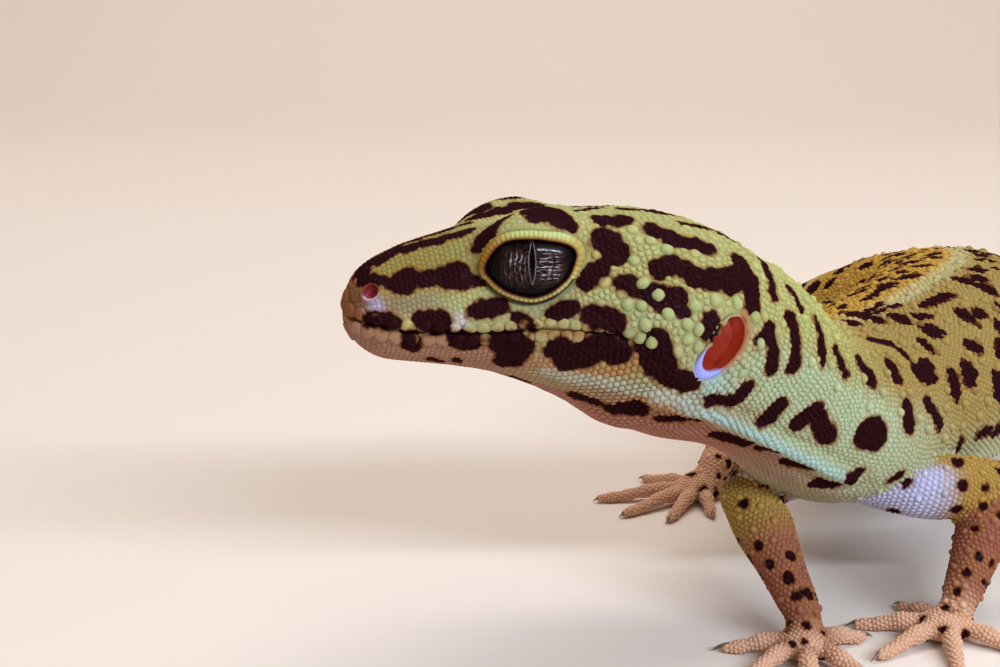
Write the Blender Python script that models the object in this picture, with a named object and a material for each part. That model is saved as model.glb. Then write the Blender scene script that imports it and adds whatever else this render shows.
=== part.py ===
"""Adult leopard gecko, life size, standing on straightened front legs with the head and trunk bent to its right.

Blender 4.5, metres, +Z up. The floor is z = 0, the head faces -X, and the trunk and tail run towards +Y.
The body is one loft along a bent spine, parted by thin gaps into head, neck, trunk and tail. Each leg is a loft
along its bones, and each foot is a palm with five clawed digits. All sizes below are in millimetres.
"""

import math

import bmesh
import bpy
import numpy as np
from mathutils import Matrix, Vector

MM = 0.001
GAP = 0.3

SNOUT_TIP = (-45.0, -75.1, 27.7)
HEAD_ROLL = 3.0
HEAD_END = 29.0
NECK_END = 39.5
TRUNK_END = 112.0
TAIL_HALF = 150.0
TAIL_END = 198.0

# The spine, from the snout back. Heading is the way that it runs in plan, in degrees anticlockwise from +X.
SPINE = (
    # name, distance along, heading, height above the floor
    ("snout", 0, 15, 27.7),
    ("skull back", 22, 15, 27.7),
    ("nape", 30, 24, 25.4),
    ("mid neck", 37, 40, 21.4),
    ("shoulders", 46, 51, 17.5),
    ("chest", 56, 54, 16.6),
    ("mid trunk", 76, 61, 16.6),
    ("loin", 90, 78, 16.4),
    ("hips", 106, 120, 14.6),
    ("vent", 114, 128, 12.4),
    ("tail waist", 122, 124, 9.4),
    ("tail bulb", 142, 98, 5.8),
    ("mid tail", 165, 78, 4.7),
    ("thin tail", 185, 70, 2.3),
    ("tail tip", 198, 66, 1.0),
)

# The cross-section along the spine. Heights are above the spine, depths are below it.
SECTIONS = (
    # name, along, half width, height of widest line, top, bottom, squareness of top and bottom, roof, keel
    ("snout", 0, 3.5, 0.7, 4.7, 1.9, 2.6, 2.3, 0.30, 0.15),
    ("nostrils", 3, 4.1, 0.6, 5.1, 2.6, 2.9, 2.3, 0.36, 0.16),
    ("muzzle", 6.5, 5.2, 0.6, 5.95, 3.1, 3.1, 2.4, 0.40, 0.16),
    ("eye front", 9.5, 6.4, 0.6, 6.55, 3.6, 3.1, 2.5, 0.43, 0.14),
    ("eye", 13, 7.9, 0.6, 7.0, 4.8, 2.9, 2.6, 0.42, 0.12),
    ("eye back", 16.5, 9.1, 0.7, 7.55, 6.4, 2.6, 2.5, 0.34, 0.12),
    ("cheek", 21, 10.2, 0.6, 7.8, 8.3, 2.4, 2.4, 0.22, 0.14),
    ("ears", 25.5, 9.9, 0.0, 7.3, 9.5, 2.3, 2.2, 0.14, 0.16),
    ("nape", 30, 8.5, -0.4, 6.5, 9.0, 2.2, 2.1, 0.10, 0.14),
    ("mid neck", 37, 7.5, -0.4, 6.0, 7.6, 2.1, 2.1, 0.06, 0.10),
    ("shoulders", 46, 8.8, -0.6, 6.6, 8.6, 2.1, 2.3, 0.06, 0.06),
    ("chest", 56, 10.4, -1.2, 7.2, 8.5, 2.2, 2.6, 0.06, 0.04),
    ("mid trunk", 76, 12.3, -1.8, 7.6, 8.2, 2.2, 2.9, 0.06, 0.02),
    ("loin", 92, 11.3, -1.6, 7.3, 7.5, 2.2, 2.7, 0.06, 0.02),
    ("hips", 106, 8.8, -0.8, 6.3, 6.2, 2.1, 2.3, 0.05, 0.02),
    ("vent", 114, 6.9, -0.3, 5.4, 5.2, 2.0, 2.2, 0.03, 0.0),
    ("tail waist", 121, 5.7, 0.0, 5.0, 4.8, 2.0, 2.1, 0.0, 0.0),
    ("tail bulb", 140, 7.8, 0.0, 6.2, 6.1, 2.0, 2.2, 0.0, 0.0),
    ("mid tail", 162, 6.2, 0.0, 5.2, 5.1, 2.0, 2.2, 0.0, 0.0),
    ("thin tail", 185, 2.8, 0.0, 2.6, 2.6, 2.0, 2.0, 0.0, 0.0),
    ("tail tip", 198, 0.9, 0.0, 0.9, 1.0, 2.0, 2.0, 0.0, 0.0),
)
NOSE_ROUNDING = 3.4
NOSE_LEVEL = 0.9

# Swellings of the skin: name, along, across, up, their reach along, across and up, and how far out and up they push.
SWELLINGS = (
    ("brow", 13.3, 4.2, 5.9, 4.2, 2.3, 2.1, 0.70, 2.35),
    ("lore", 7.2, 4.6, 3.4, 2.4, 2.0, 1.3, -0.35, 0.0),
    ("jaw muscle", 21.5, 9.6, -2.2, 3.2, 3.0, 2.6, 0.45, 0.0),
    ("temple", 19.5, 7.4, 4.4, 2.4, 2.6, 1.8, -0.35, 0.0),
    ("shoulder", 45.5, 8.0, -3.4, 4.4, 4.0, 4.0, 0.8, 0.0),
    ("hip", 105.5, 7.6, -0.6, 5.0, 4.0, 4.0, 0.9, 0.0),
)

EYE_AT = (13.0, 3.9, 4.3)
EYE_RADII = (3.4, 3.3, 2.8)
EAR_AT = (25.6, 10.6, -1.4)
EAR_RADII = (1.7, 3.0, 2.5)
EARDRUM_RADIUS = 1.15
EARDRUM_THICK = 0.6
JAW_HINGE = 18.0

# Legs: the root inside the body, then the joints down to the ankle, and the radius at each.
LEGS = {
    "front_left": {
        "joints": ((-3.4, -60.4, 12.5), (2.0, -61.6, 11.2), (8.2, -60.4, 10.4), (3.6, -66.6, 2.7)),
        "radii": (3.4, 3.0, 2.5, 1.55),
        "names": ("upper_arm_left", "forearm_left", "hand_left"),
    },
    "front_right": {
        "joints": ((-6.0, -57.4, 12.5), (-10.0, -58.4, 11.4), (-12.9, -61.2, 10.2), (-9.5, -69.4, 2.7)),
        "radii": (3.4, 3.0, 2.5, 1.55),
        "names": ("upper_arm_right", "forearm_right", "hand_right"),
    },
    "hind_left": {
        "joints": ((15.0, -5.4, 12.8), (20.6, -7.2, 12.2), (30.4, -11.6, 10.4), (34.8, 0.6, 3.0)),
        "radii": (5.0, 4.6, 3.1, 1.8),
        "names": ("thigh_left", "shank_left", "foot_left"),
    },
    "hind_right": {
        "joints": ((11.0, -8.4, 12.6), (5.6, -10.4, 12.0), (-3.6, -21.8, 10.8), (-11.6, -32.4, 3.0)),
        "radii": (5.0, 4.6, 3.1, 1.8),
        "names": ("thigh_right", "shank_right", "foot_right"),
    },
}

# Feet: the way that the middle digit points, in degrees in plan, then each digit's spread from it and its length.
FEET = {
    "front_left": {"points": -146, "spread": (-101, -48, 0, 48, 112), "length": (3.8, 4.8, 5.4, 5.2, 4.2)},
    "front_right": {"points": -97, "spread": (124, 44, 0, -42, -88), "length": (3.8, 5.0, 5.4, 5.2, 4.2)},
    "hind_left": {"points": -60, "spread": (-60, -34, -6, 28, 84), "length": (4.0, 5.8, 7.2, 7.6, 5.0)},
    "hind_right": {"points": -152, "spread": (66, 34, 8, -20, -72), "length": (4.0, 5.8, 7.2, 7.6, 5.0)},
}
PALM = {"front": (2.5, 2.2, 1.6), "hind": (3.0, 2.3, 1.8)}
# A digit's profile: share of its length from the palm's rim (in millimetres inside the palm), height, radius.
DIGIT_ROOT = (-1.2, 1.0, 0.75)
DIGIT_JOINTS = ((0.35, 1.2, 0.82), (1.0, 0.50, 0.64))
DIGIT_TIP = (0.25, 0.55, 0.40)
CLAW_LENGTH = 1.3
CLAW_RADIUS = 0.28
CLAW_HEIGHT = 0.42
ANKLE_STUB = 1.6
ANKLE_DROP = 0.5
WRIST_ROOM = 7.0
PALM_AHEAD = 0.55
PALM_LIFT = 0.75
RIM_OVERLAP = 0.5

# How finely each length is drawn: rings along it and sides round it.
HEAD_RINGS, HEAD_SIDES = 27, 28
NECK_RINGS, NECK_SIDES = 7, 28
TRUNK_RINGS, TRUNK_SIDES = 21, 26
TAIL_BASE_RINGS, TAIL_BASE_SIDES = 12, 18
TAIL_TIP_RINGS, TAIL_TIP_SIDES = 12, 14
UPPER_LEG_RINGS, LOWER_LEG_RINGS, LEG_SIDES = 6, 8, 12
EYE_SIDES, SOCKET_SIDES, DRUM_SIDES, PALM_SIDES, ANKLE_SIDES = 14, 16, 8, 10, 8
CUTTER_REACH = 20


def through(stations, values, at):
    """A smooth curve through the values, which never overshoots them."""
    x = np.asarray(stations, float)
    y = np.asarray(values, float)
    width = np.diff(x)
    slope = np.diff(y) / width
    tangent = np.zeros_like(y)
    tangent[0], tangent[-1] = slope[0], slope[-1]
    both = slope[:-1] * slope[1:]
    turning = both > 0
    inner = np.zeros_like(both)
    inner[turning] = 2 * both[turning] / (slope[:-1] + slope[1:])[turning]
    tangent[1:-1] = inner
    at = np.clip(np.asarray(at, float), x[0], x[-1])
    i = np.clip(np.searchsorted(x, at, side="right") - 1, 0, len(width) - 1)
    t = (at - x[i]) / width[i]
    ends = y[i] * (1 + 2 * t) * (1 - t) ** 2 + y[i + 1] * t**2 * (3 - 2 * t)
    return ends + width[i] * (tangent[i] * t * (1 - t) ** 2 - tangent[i + 1] * t**2 * (1 - t))


def column(table, index, at):
    """One column of a table of stations, read smoothly at any distance along."""
    return through([row[1] for row in table], [row[index] for row in table], at)


def unit(vectors):
    """The vectors at length one."""
    return vectors / np.linalg.norm(vectors, axis=-1, keepdims=True)


def spine_frames(along):
    """Points of the spine, and the directions forward, left and up there."""
    step = 0.25
    s = np.arange(0, TAIL_END + 2 * step, step)
    height = column(SPINE, 3, s)
    heading = np.radians(column(SPINE, 2, s))
    level = np.sqrt(np.clip(1 - np.gradient(height, step) ** 2, 0, 1)) * step
    x = SNOUT_TIP[0] + np.concatenate([[0], np.cumsum(level * np.cos(heading))[:-1]])
    y = SNOUT_TIP[1] + np.concatenate([[0], np.cumsum(level * np.sin(heading))[:-1]])
    points = np.stack([x, y, height], axis=1)
    forward = unit(-np.gradient(points, axis=0))
    left = unit(np.cross([0, 0, 1], forward))
    up = np.cross(forward, left)
    roll = np.radians(HEAD_ROLL) * (1 - smoothstep(s, HEAD_END, NECK_END))[:, None]
    left, up = left * np.cos(roll) + up * np.sin(roll), up * np.cos(roll) - left * np.sin(roll)
    return [
        np.stack([np.interp(along, s, field[:, axis]) for axis in range(3)], axis=-1)
        for field in (points, forward, left, up)
    ]


def smoothstep(value, low, high):
    """0 up to low, 1 from high on, and a soft rise between."""
    t = np.clip((np.asarray(value, float) - low) / (high - low), 0, 1)
    return t * t * (3 - 2 * t)


def section(along, angle):
    """Distance left of the spine and above it, at an angle from the top towards the left."""
    width, level, top, bottom, above, below, roof, keel = (column(SECTIONS, i, along) for i in range(2, 10))
    nose = np.clip(1 - along / NOSE_ROUNDING, 0, 1)
    rounding = (1 - nose**2.4) ** (1 / 2.4)
    width = width * rounding
    level = NOSE_LEVEL + (level - NOSE_LEVEL) * rounding
    top = NOSE_LEVEL + (top - NOSE_LEVEL) * rounding
    bottom = -NOSE_LEVEL + (bottom + NOSE_LEVEL) * rounding
    cosine, sine = np.cos(angle), np.sin(angle)
    power = np.where(cosine >= 0, 2 / above, 2 / below)
    rise = np.abs(cosine) ** power
    reach = np.where(cosine >= 0, top - level, bottom + level)
    narrowing = 1 - np.where(cosine >= 0, roof, keel) * rise
    across = width * np.sign(sine) * np.abs(sine) ** power * narrowing
    height = level + np.sign(cosine) * reach * rise
    for _, at, side, high, far, wide, tall, out, lift in SWELLINGS:
        near = np.exp(
            -(((along - at) / far) ** 2) - ((np.abs(across) - side) / wide) ** 2 - ((height - high) / tall) ** 2
        )
        across = across + np.sign(across) * out * near
        height = height + lift * near
    return across, height


def body_points(along, angle, grow=0.0):
    """Points of the body's surface, moved out by grow."""
    along, angle = np.broadcast_arrays(np.asarray(along, float), np.asarray(angle, float))
    across, height = section(along, angle)
    if grow:
        across = across + grow * np.sin(angle)
        height = height + grow * np.cos(angle)
    point, _, left, up = spine_frames(along)
    return point + left * across[..., None] + up * height[..., None]


def in_head(along, across, height):
    """A place given along the head, left of its middle plane and above the mouth line."""
    point, _, left, up = spine_frames(np.array([float(along)]))
    return (point + left * across + up * height)[0]


def head_turn(along):
    """The rotation from the head's own axes (forward, left, up) to the model's."""
    _, forward, left, up = spine_frames(np.array([float(along)]))
    return Matrix((forward[0], left[0], up[0])).transposed()


def material(name, colour, roughness):
    """A plain surface for one material slot."""
    made = bpy.data.materials.new(name)
    made.use_nodes = True
    shader = made.node_tree.nodes["Principled BSDF"]
    shader.inputs["Base Color"].default_value = (*colour, 1)
    shader.inputs["Roughness"].default_value = roughness
    return made


def keep(name, mesh, finish, collection):
    """Puts a mesh in a collection as a smooth object of one material."""
    obj = bpy.data.objects.new(name, mesh)
    mesh.materials.clear()
    mesh.materials.append(finish)
    mesh.shade_smooth()
    collection.objects.link(obj)
    return obj


def loft(name, rings, finish, collection):
    """A closed skin over the rings, with flat ends. Every ring has the same number of points."""
    shape = bmesh.new()
    grid = [[shape.verts.new(Vector(p) * MM) for p in ring] for ring in rings]
    count = len(grid[0])
    for a, b in zip(grid, grid[1:]):
        for i in range(count):
            j = (i + 1) % count
            shape.faces.new((a[i], a[j], b[j], b[i]))
    shape.faces.new(grid[0][::-1])
    shape.faces.new(grid[-1])
    bmesh.ops.recalc_face_normals(shape, faces=shape.faces)
    mesh = bpy.data.meshes.new(name)
    shape.to_mesh(mesh)
    shape.free()
    return keep(name, mesh, finish, collection)


def body_piece(name, start, end, rings, sides, finish, collection, grow=0.0, crowd=1.0):
    """A length of the body. Above 1, crowd draws the rings towards the start."""
    stations = start + (end - start) * np.linspace(0, 1, rings) ** crowd
    angles = np.linspace(0, 2 * np.pi, sides, endpoint=False)
    points = body_points(stations[:, None], angles[None, :], grow)
    points[..., 2] = np.maximum(points[..., 2], 0)
    return loft(name, points, finish, collection)


def bone(leg, lower):
    """Distances, points and radii along the upper or the lower length of a leg."""
    joints, radii = np.array(LEGS[leg]["joints"]), np.array(LEGS[leg]["radii"])
    joints, radii = (joints[2:], radii[2:]) if lower else (joints[:3], radii[:3])
    lengths = np.concatenate([[0], np.cumsum(np.linalg.norm(np.diff(joints, axis=0), axis=1))])
    at = np.linspace(0, lengths[-1], 25)
    points = np.stack([through(lengths, joints[:, axis], at) for axis in range(3)], axis=1)
    size = through(lengths, radii, at)
    if lower:
        size = size + 0.3 * np.exp(-(((at - 3.5) / 2.6) ** 2))
    return at, points, size


def limb_piece(name, leg, lower, start, end, rings, finish, collection, grow=0.0, rounded=False):
    """The part of a bone's length between two distances, with a rounded far end if asked for."""
    at, points, radii = bone(leg, lower)
    tangents = unit(np.gradient(points, axis=0))
    stations = list(np.linspace(start, end, rings))
    shrink = [1.0] * rings
    if rounded:
        reach = np.interp(end, at, radii) + grow
        for turn in (0.6, 1.05, 1.4):
            stations.append(end + reach * math.sin(turn))
            shrink.append(math.cos(turn))
    stations, shrink = np.array(stations), np.array(shrink)
    beyond = np.clip(stations - at[-1], 0, None)[:, None]
    centres = np.stack([np.interp(stations, at, points[:, axis]) for axis in range(3)], axis=1)
    along = unit(np.stack([np.interp(stations, at, tangents[:, axis]) for axis in range(3)], axis=1))
    centres = centres + along * beyond
    side = unit(np.cross(along, [0, 0, 1]))
    over = np.cross(side, along)
    size = ((np.interp(stations, at, radii) + grow) * shrink)[:, None, None]
    angles = np.linspace(0, 2 * np.pi, LEG_SIDES, endpoint=False)[None, :, None]
    rings = centres[:, None] + size * (np.cos(angles) * side[:, None] + np.sin(angles) * over[:, None])
    return loft(name, rings, finish, collection)


def ball(name, centre, radii, turn, finish, collection, segments=16):
    """An egg shape, with its radii along the axes that turn gives."""
    shape = bmesh.new()
    bmesh.ops.create_uvsphere(shape, u_segments=segments, v_segments=segments // 2 + 2, radius=1)
    scale = Matrix.Diagonal((radii[0] * MM, radii[1] * MM, radii[2] * MM, 1))
    shape.transform(Matrix.Translation(Vector(centre) * MM) @ turn.to_4x4() @ scale)
    mesh = bpy.data.meshes.new(name)
    shape.to_mesh(mesh)
    shape.free()
    return keep(name, mesh, finish, collection)


def digit(name, start, heading, length, finish, collection):
    """A digit that arches off the palm and lies on the floor, with its claw."""
    ahead = Vector((math.cos(heading), math.sin(heading), 0))
    places = [(start + ahead * DIGIT_ROOT[0], *DIGIT_ROOT[1:])]
    places += [(start + ahead * share * length, high, radius) for share, high, radius in DIGIT_JOINTS]
    tip = start + ahead * (length + DIGIT_TIP[0])
    places += [(tip, *DIGIT_TIP[1:]), (tip + ahead * 0.9 * CLAW_LENGTH, CLAW_HEIGHT, CLAW_RADIUS)]
    curve = bpy.data.curves.new(name, "CURVE")
    curve.dimensions = "3D"
    curve.bevel_depth = MM
    curve.bevel_resolution = 1
    curve.use_fill_caps = True
    line = curve.splines.new("POLY")
    line.points.add(len(places) - 1)
    for point, (place, high, radius) in zip(line.points, places):
        point.co = (place.x * MM, place.y * MM, high * MM, 1)
        point.radius = radius
    obj = bpy.data.objects.new(name, curve)
    collection.objects.link(obj)
    return as_mesh(obj, finish, collection)


def as_mesh(obj, finish, collection):
    """The object as a plain mesh with its modifiers and caps made fast, in place of the object."""
    graph = bpy.context.evaluated_depsgraph_get()
    mesh = bpy.data.meshes.new_from_object(obj.evaluated_get(graph))
    mesh.transform(obj.matrix_world)
    shape = bmesh.new()
    shape.from_mesh(mesh)
    bmesh.ops.remove_doubles(shape, verts=shape.verts, dist=0.00001)
    bmesh.ops.recalc_face_normals(shape, faces=shape.faces)
    shape.to_mesh(mesh)
    shape.free()
    name = obj.name
    bpy.data.objects.remove(obj)
    return keep(name, mesh, finish, collection)


def combine(obj, other, operation):
    """Joins other to obj or cuts it out of obj, and makes the result fast."""
    modifier = obj.modifiers.new(operation.lower(), "BOOLEAN")
    modifier.operation = operation
    modifier.solver = "EXACT"
    modifier.object = other
    collection = obj.users_collection[0]
    bpy.context.view_layer.update()
    return as_mesh(obj, obj.data.materials[0], collection)


def cutter(obj, tools):
    """Sets an object aside as a cutter."""
    for collection in obj.users_collection:
        collection.objects.unlink(obj)
    tools.objects.link(obj)
    obj.hide_render = True
    obj.display_type = "WIRE"
    return obj


def box_between(name, start, end, low, high, finish, tools):
    """A cutter that spans the head between two distances along it and two heights."""
    corners = []
    for along in (start, end):
        corners.append([in_head(along, side, height) for side, height in
                        ((-CUTTER_REACH, low), (-CUTTER_REACH, high), (CUTTER_REACH, high), (CUTTER_REACH, low))])
    return cutter(loft(name, corners, finish, tools), tools)


def make_head(skin, eye, drum, parts, tools):
    """The skull with its eye sockets and ear openings, the lower jaw, the eyes and the eardrums."""
    head = body_piece("head", 0.02, HEAD_END, HEAD_RINGS, HEAD_SIDES, skin, parts, crowd=1.25)
    for side, label in ((1, "left"), (-1, "right")):
        turn = head_turn(EYE_AT[0])
        centre = in_head(EYE_AT[0], side * EYE_AT[1], EYE_AT[2])
        ball(f"eye_{label}", centre, EYE_RADII, turn, eye, parts, EYE_SIDES)
        socket = ball(f"socket_{label}", centre, [r + GAP for r in EYE_RADII], turn, skin, tools, SOCKET_SIDES)
        head = combine(head, cutter(socket, tools), "DIFFERENCE")
        turn = head_turn(EAR_AT[0])
        centre = in_head(EAR_AT[0], side * EAR_AT[1], EAR_AT[2])
        opening = ball(f"ear_opening_{label}", centre, EAR_RADII, turn, skin, tools, SOCKET_SIDES)
        head = combine(head, cutter(opening, tools), "DIFFERENCE")
        depth = EAR_AT[1] - EAR_RADII[1] + GAP + EARDRUM_THICK + 0.25
        centre = in_head(EAR_AT[0], side * depth, EAR_AT[2])
        radii = (EARDRUM_RADIUS * EAR_RADII[0] / EAR_RADII[2], EARDRUM_THICK / 2, EARDRUM_RADIUS)
        ball(f"eardrum_{label}", centre, radii, turn, drum, parts, DRUM_SIDES)
    jaw_space = box_between("jaw_space", -3, JAW_HINGE, -CUTTER_REACH, GAP / 2, skin, tools)
    jaw_limit = box_between("jaw_limit", -3, JAW_HINGE - GAP, -CUTTER_REACH, -GAP / 2, skin, tools)
    jaw = as_mesh(copy_of(head, "lower_jaw", parts), skin, parts)
    combine(jaw, jaw_limit, "INTERSECT")
    combine(head, jaw_space, "DIFFERENCE")


def copy_of(obj, name, collection):
    """A second object with its own copy of the mesh."""
    made = bpy.data.objects.new(name, obj.data.copy())
    collection.objects.link(made)
    bpy.context.view_layer.update()
    return made


def make_body(skin, parts, tools):
    """Neck, trunk and tail, and the cutter that keeps the legs clear of them."""
    body_piece("neck", HEAD_END + GAP, NECK_END, NECK_RINGS, NECK_SIDES, skin, parts)
    body_piece("trunk", NECK_END + GAP, TRUNK_END, TRUNK_RINGS, TRUNK_SIDES, skin, parts)
    body_piece("tail_base", TRUNK_END + GAP, TAIL_HALF, TAIL_BASE_RINGS, TAIL_BASE_SIDES, skin, parts)
    body_piece("tail_tip", TAIL_HALF + GAP, TAIL_END, TAIL_TIP_RINGS, TAIL_TIP_SIDES, skin, parts)
    room = body_piece("leg_room", HEAD_END, TRUNK_END + 12, 26, 24, skin, tools, grow=GAP + 0.1)
    return cutter(room, tools)


def make_foot(leg, wrist, finish, parts, tools):
    """The palm with its five digits, clear of the forearm or shank that it carries."""
    kind = leg.split("_")[0]
    plan = FEET[leg]
    points = math.radians(plan["points"])
    long, wide, tall = PALM[kind]
    middle = Vector((wrist[0], wrist[1], 0)) + Vector((math.cos(points), math.sin(points), 0)) * (PALM_AHEAD * long)
    turn = Matrix.Rotation(points, 3, "Z")
    name = LEGS[leg]["names"][2]
    foot = ball(name, (middle.x, middle.y, PALM_LIFT * tall), (long, wide, tall), turn, finish, parts, PALM_SIDES)
    thick = LEGS[leg]["radii"][-1]
    place = (wrist[0], wrist[1], wrist[2] - ANKLE_DROP)
    stub = ball(f"ankle_{leg}", place, (thick, thick, thick), turn, finish, tools, ANKLE_SIDES)
    foot = combine(foot, cutter(stub, tools), "UNION")
    for number, (spread, length) in enumerate(zip(plan["spread"], plan["length"])):
        heading = points + math.radians(spread)
        ahead = Vector((math.cos(heading), math.sin(heading), 0))
        rim = 1 / math.hypot(math.cos(heading - points) / long, math.sin(heading - points) / wide)
        toe = digit(f"digit_{leg}_{number}", middle + ahead * (rim - RIM_OVERLAP), heading, length, finish, tools)
        foot = combine(foot, cutter(toe, tools), "UNION")
    for vertex in foot.data.vertices:
        vertex.co.z = max(vertex.co.z, 0)
    ankle = bone(leg, True)[0][-1] - ANKLE_STUB
    room = limb_piece(f"room_{leg}", leg, True, ankle - WRIST_ROOM, ankle + GAP, 5, finish, tools, grow=GAP)
    return combine(foot, cutter(room, tools), "DIFFERENCE")


def make_leg(leg, finish, body_room, parts, tools):
    """The upper length with its knee or elbow, the lower length, and the foot."""
    upper, lower, _ = LEGS[leg]["names"]
    bend = bone(leg, False)[0][-1]
    top = limb_piece(upper, leg, False, 0, bend, UPPER_LEG_RINGS, finish, parts, rounded=True)
    combine(top, body_room, "DIFFERENCE")
    ankle = bone(leg, True)[0][-1] - ANKLE_STUB
    shank = limb_piece(lower, leg, True, 0, ankle, LOWER_LEG_RINGS, finish, parts)
    knee_room = limb_piece(
        f"knee_room_{leg}", leg, False, 0, bend, UPPER_LEG_RINGS, finish, tools, grow=GAP, rounded=True
    )
    combine(shank, cutter(knee_room, tools), "DIFFERENCE")
    make_foot(leg, LEGS[leg]["joints"][-1], finish, parts, tools)


def main():
    """Builds the whole gecko in one collection, and its cutters in another."""
    for obj in list(bpy.data.objects):
        bpy.data.objects.remove(obj)
    parts = bpy.data.collections.new("leopard_gecko")
    tools = bpy.data.collections.new("cutters")
    for collection in (parts, tools):
        bpy.context.scene.collection.children.link(collection)
    skin = material("spotted_skin", (0.62, 0.52, 0.20), 0.6)
    leg_skin = material("leg_skin", (0.60, 0.36, 0.20), 0.6)
    eye = material("eye", (0.04, 0.03, 0.03), 0.1)
    drum = material("eardrum", (0.60, 0.12, 0.06), 0.4)
    make_head(skin, eye, drum, parts, tools)
    body_room = make_body(skin, parts, tools)
    for leg in LEGS:
        make_leg(leg, leg_skin, body_room, parts, tools)


main()
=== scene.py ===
import math

import bpy
import numpy as np
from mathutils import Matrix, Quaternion, Vector
from mathutils.bvhtree import BVHTree
from mathutils.kdtree import KDTree

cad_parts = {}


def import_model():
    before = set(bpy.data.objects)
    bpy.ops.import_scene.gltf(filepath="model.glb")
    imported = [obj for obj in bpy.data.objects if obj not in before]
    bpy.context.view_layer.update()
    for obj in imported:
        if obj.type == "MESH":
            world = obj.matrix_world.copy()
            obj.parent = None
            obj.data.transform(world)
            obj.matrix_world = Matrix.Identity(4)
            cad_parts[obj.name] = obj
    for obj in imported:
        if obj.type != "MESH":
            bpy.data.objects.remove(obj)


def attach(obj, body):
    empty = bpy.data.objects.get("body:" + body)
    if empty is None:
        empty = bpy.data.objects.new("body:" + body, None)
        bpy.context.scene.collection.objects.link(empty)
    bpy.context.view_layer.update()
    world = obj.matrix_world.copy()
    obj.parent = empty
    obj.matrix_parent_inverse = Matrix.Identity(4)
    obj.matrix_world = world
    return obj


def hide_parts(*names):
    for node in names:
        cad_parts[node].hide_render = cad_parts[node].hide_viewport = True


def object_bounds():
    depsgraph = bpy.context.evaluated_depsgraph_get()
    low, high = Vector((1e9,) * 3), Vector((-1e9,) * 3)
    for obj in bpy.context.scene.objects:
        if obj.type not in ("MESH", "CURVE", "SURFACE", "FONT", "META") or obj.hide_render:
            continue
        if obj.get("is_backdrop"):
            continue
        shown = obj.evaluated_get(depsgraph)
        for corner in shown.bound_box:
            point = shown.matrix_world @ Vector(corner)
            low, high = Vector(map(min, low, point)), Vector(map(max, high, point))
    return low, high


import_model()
solid_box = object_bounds()

# ---- Table, light and viewpoint -----------------------------------------------------------------
# The finished model stands on a plain pale table that sweeps up behind it. A wide overhead panel and
# a low strip light it softly, as in a museum's showcase.
MM = 0.001


def tone(red, green, blue):
    """A paint, as the light-linear colour that shaders take."""
    mixed = np.array([red, green, blue], float)
    return np.where(mixed <= 0.04045, mixed / 12.92, ((mixed + 0.055) / 1.055) ** 2.4)


def linked(obj):
    bpy.context.scene.collection.objects.link(obj)
    return obj


viewpoint = bpy.data.cameras.new("viewpoint")
viewpoint.lens = 54
viewpoint.sensor_width = 36
viewpoint.clip_start = 0.005
stand = linked(bpy.data.objects.new("viewpoint", viewpoint))
stand.location = Vector((-33.7, -180.5, 51.5)) * MM
stand.rotation_euler = (math.radians(77), 0, 0)
bpy.context.scene.camera = stand
bpy.context.scene.view_settings.view_transform = "Standard"

TABLE_REACH = 1.6
TABLE_FLAT = 0.4
TABLE_BEND = 0.5
WALL_HEIGHT = 1.4
sweep = [(-TABLE_REACH, 0.0), (TABLE_FLAT, 0.0)]
for step in range(13):
    lean = math.radians(90) * step / 12
    sweep.append((TABLE_FLAT + TABLE_BEND * math.sin(lean), TABLE_BEND * (1 - math.cos(lean))))
sweep.append((TABLE_FLAT + TABLE_BEND, WALL_HEIGHT))
table_mesh = bpy.data.meshes.new("table")
table_mesh.from_pydata(
    [(side * TABLE_REACH, y, z) for y, z in sweep for side in (-1, 1)],
    [],
    [(2 * i, 2 * i + 1, 2 * i + 3, 2 * i + 2) for i in range(len(sweep) - 1)],
)
table_mesh.shade_smooth()
table = linked(bpy.data.objects.new("table", table_mesh))


def new_finish(name):
    """A new material, its node tree and its surface shader."""
    made = bpy.data.materials.new(name)
    made.use_nodes = True
    return made, made.node_tree, made.node_tree.nodes["Principled BSDF"]


def node(tree, kind, **settings):
    """A shader node with its settings, and its inputs by name or number."""
    made = tree.nodes.new(kind)
    for key, value in settings.items():
        if key == "inputs":
            for socket, entry in value.items():
                if isinstance(entry, bpy.types.NodeSocket):
                    tree.links.new(entry, made.inputs[socket])
                else:
                    made.inputs[socket].default_value = entry
        else:
            setattr(made, key, value)
    return made


def blend_colour(tree, factor, first, second, kind="MIX"):
    first, second = [
        paint if isinstance(paint, bpy.types.NodeSocket) else (*paint, 1) for paint in (first, second)]
    made = node(tree, "ShaderNodeMix", data_type="RGBA", blend_type=kind,
                inputs={"Factor": factor, 6: first, 7: second})
    return made.outputs[2]


table_paint, tree, shader = new_finish("table_paint")
shader.inputs["Roughness"].default_value = 0.8
cloud = node(tree, "ShaderNodeTexNoise", inputs={"Scale": 2.5}).outputs["Fac"]
blush = blend_colour(tree, cloud, tone(0.89, 0.835, 0.79), tone(0.92, 0.855, 0.80))
tree.links.new(blush, shader.inputs["Base Color"])
table_mesh.materials.append(table_paint)
table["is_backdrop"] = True


def panel(name, place, target, width, height, power, colour, tilt=0):
    """A soft light panel that faces a point of the model, tilted about its own middle."""
    light = bpy.data.lights.new(name, "AREA")
    light.shape = "RECTANGLE"
    light.size, light.size_y = width, height
    light.energy = power
    light.color = colour
    lamp = linked(bpy.data.objects.new(name, light))
    lamp.location = place
    facing = (Vector(target) - Vector(place)).to_track_quat("-Z", "Y")
    lamp.rotation_euler = (facing @ Quaternion((0, 0, 1), math.radians(tilt))).to_euler()


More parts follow.
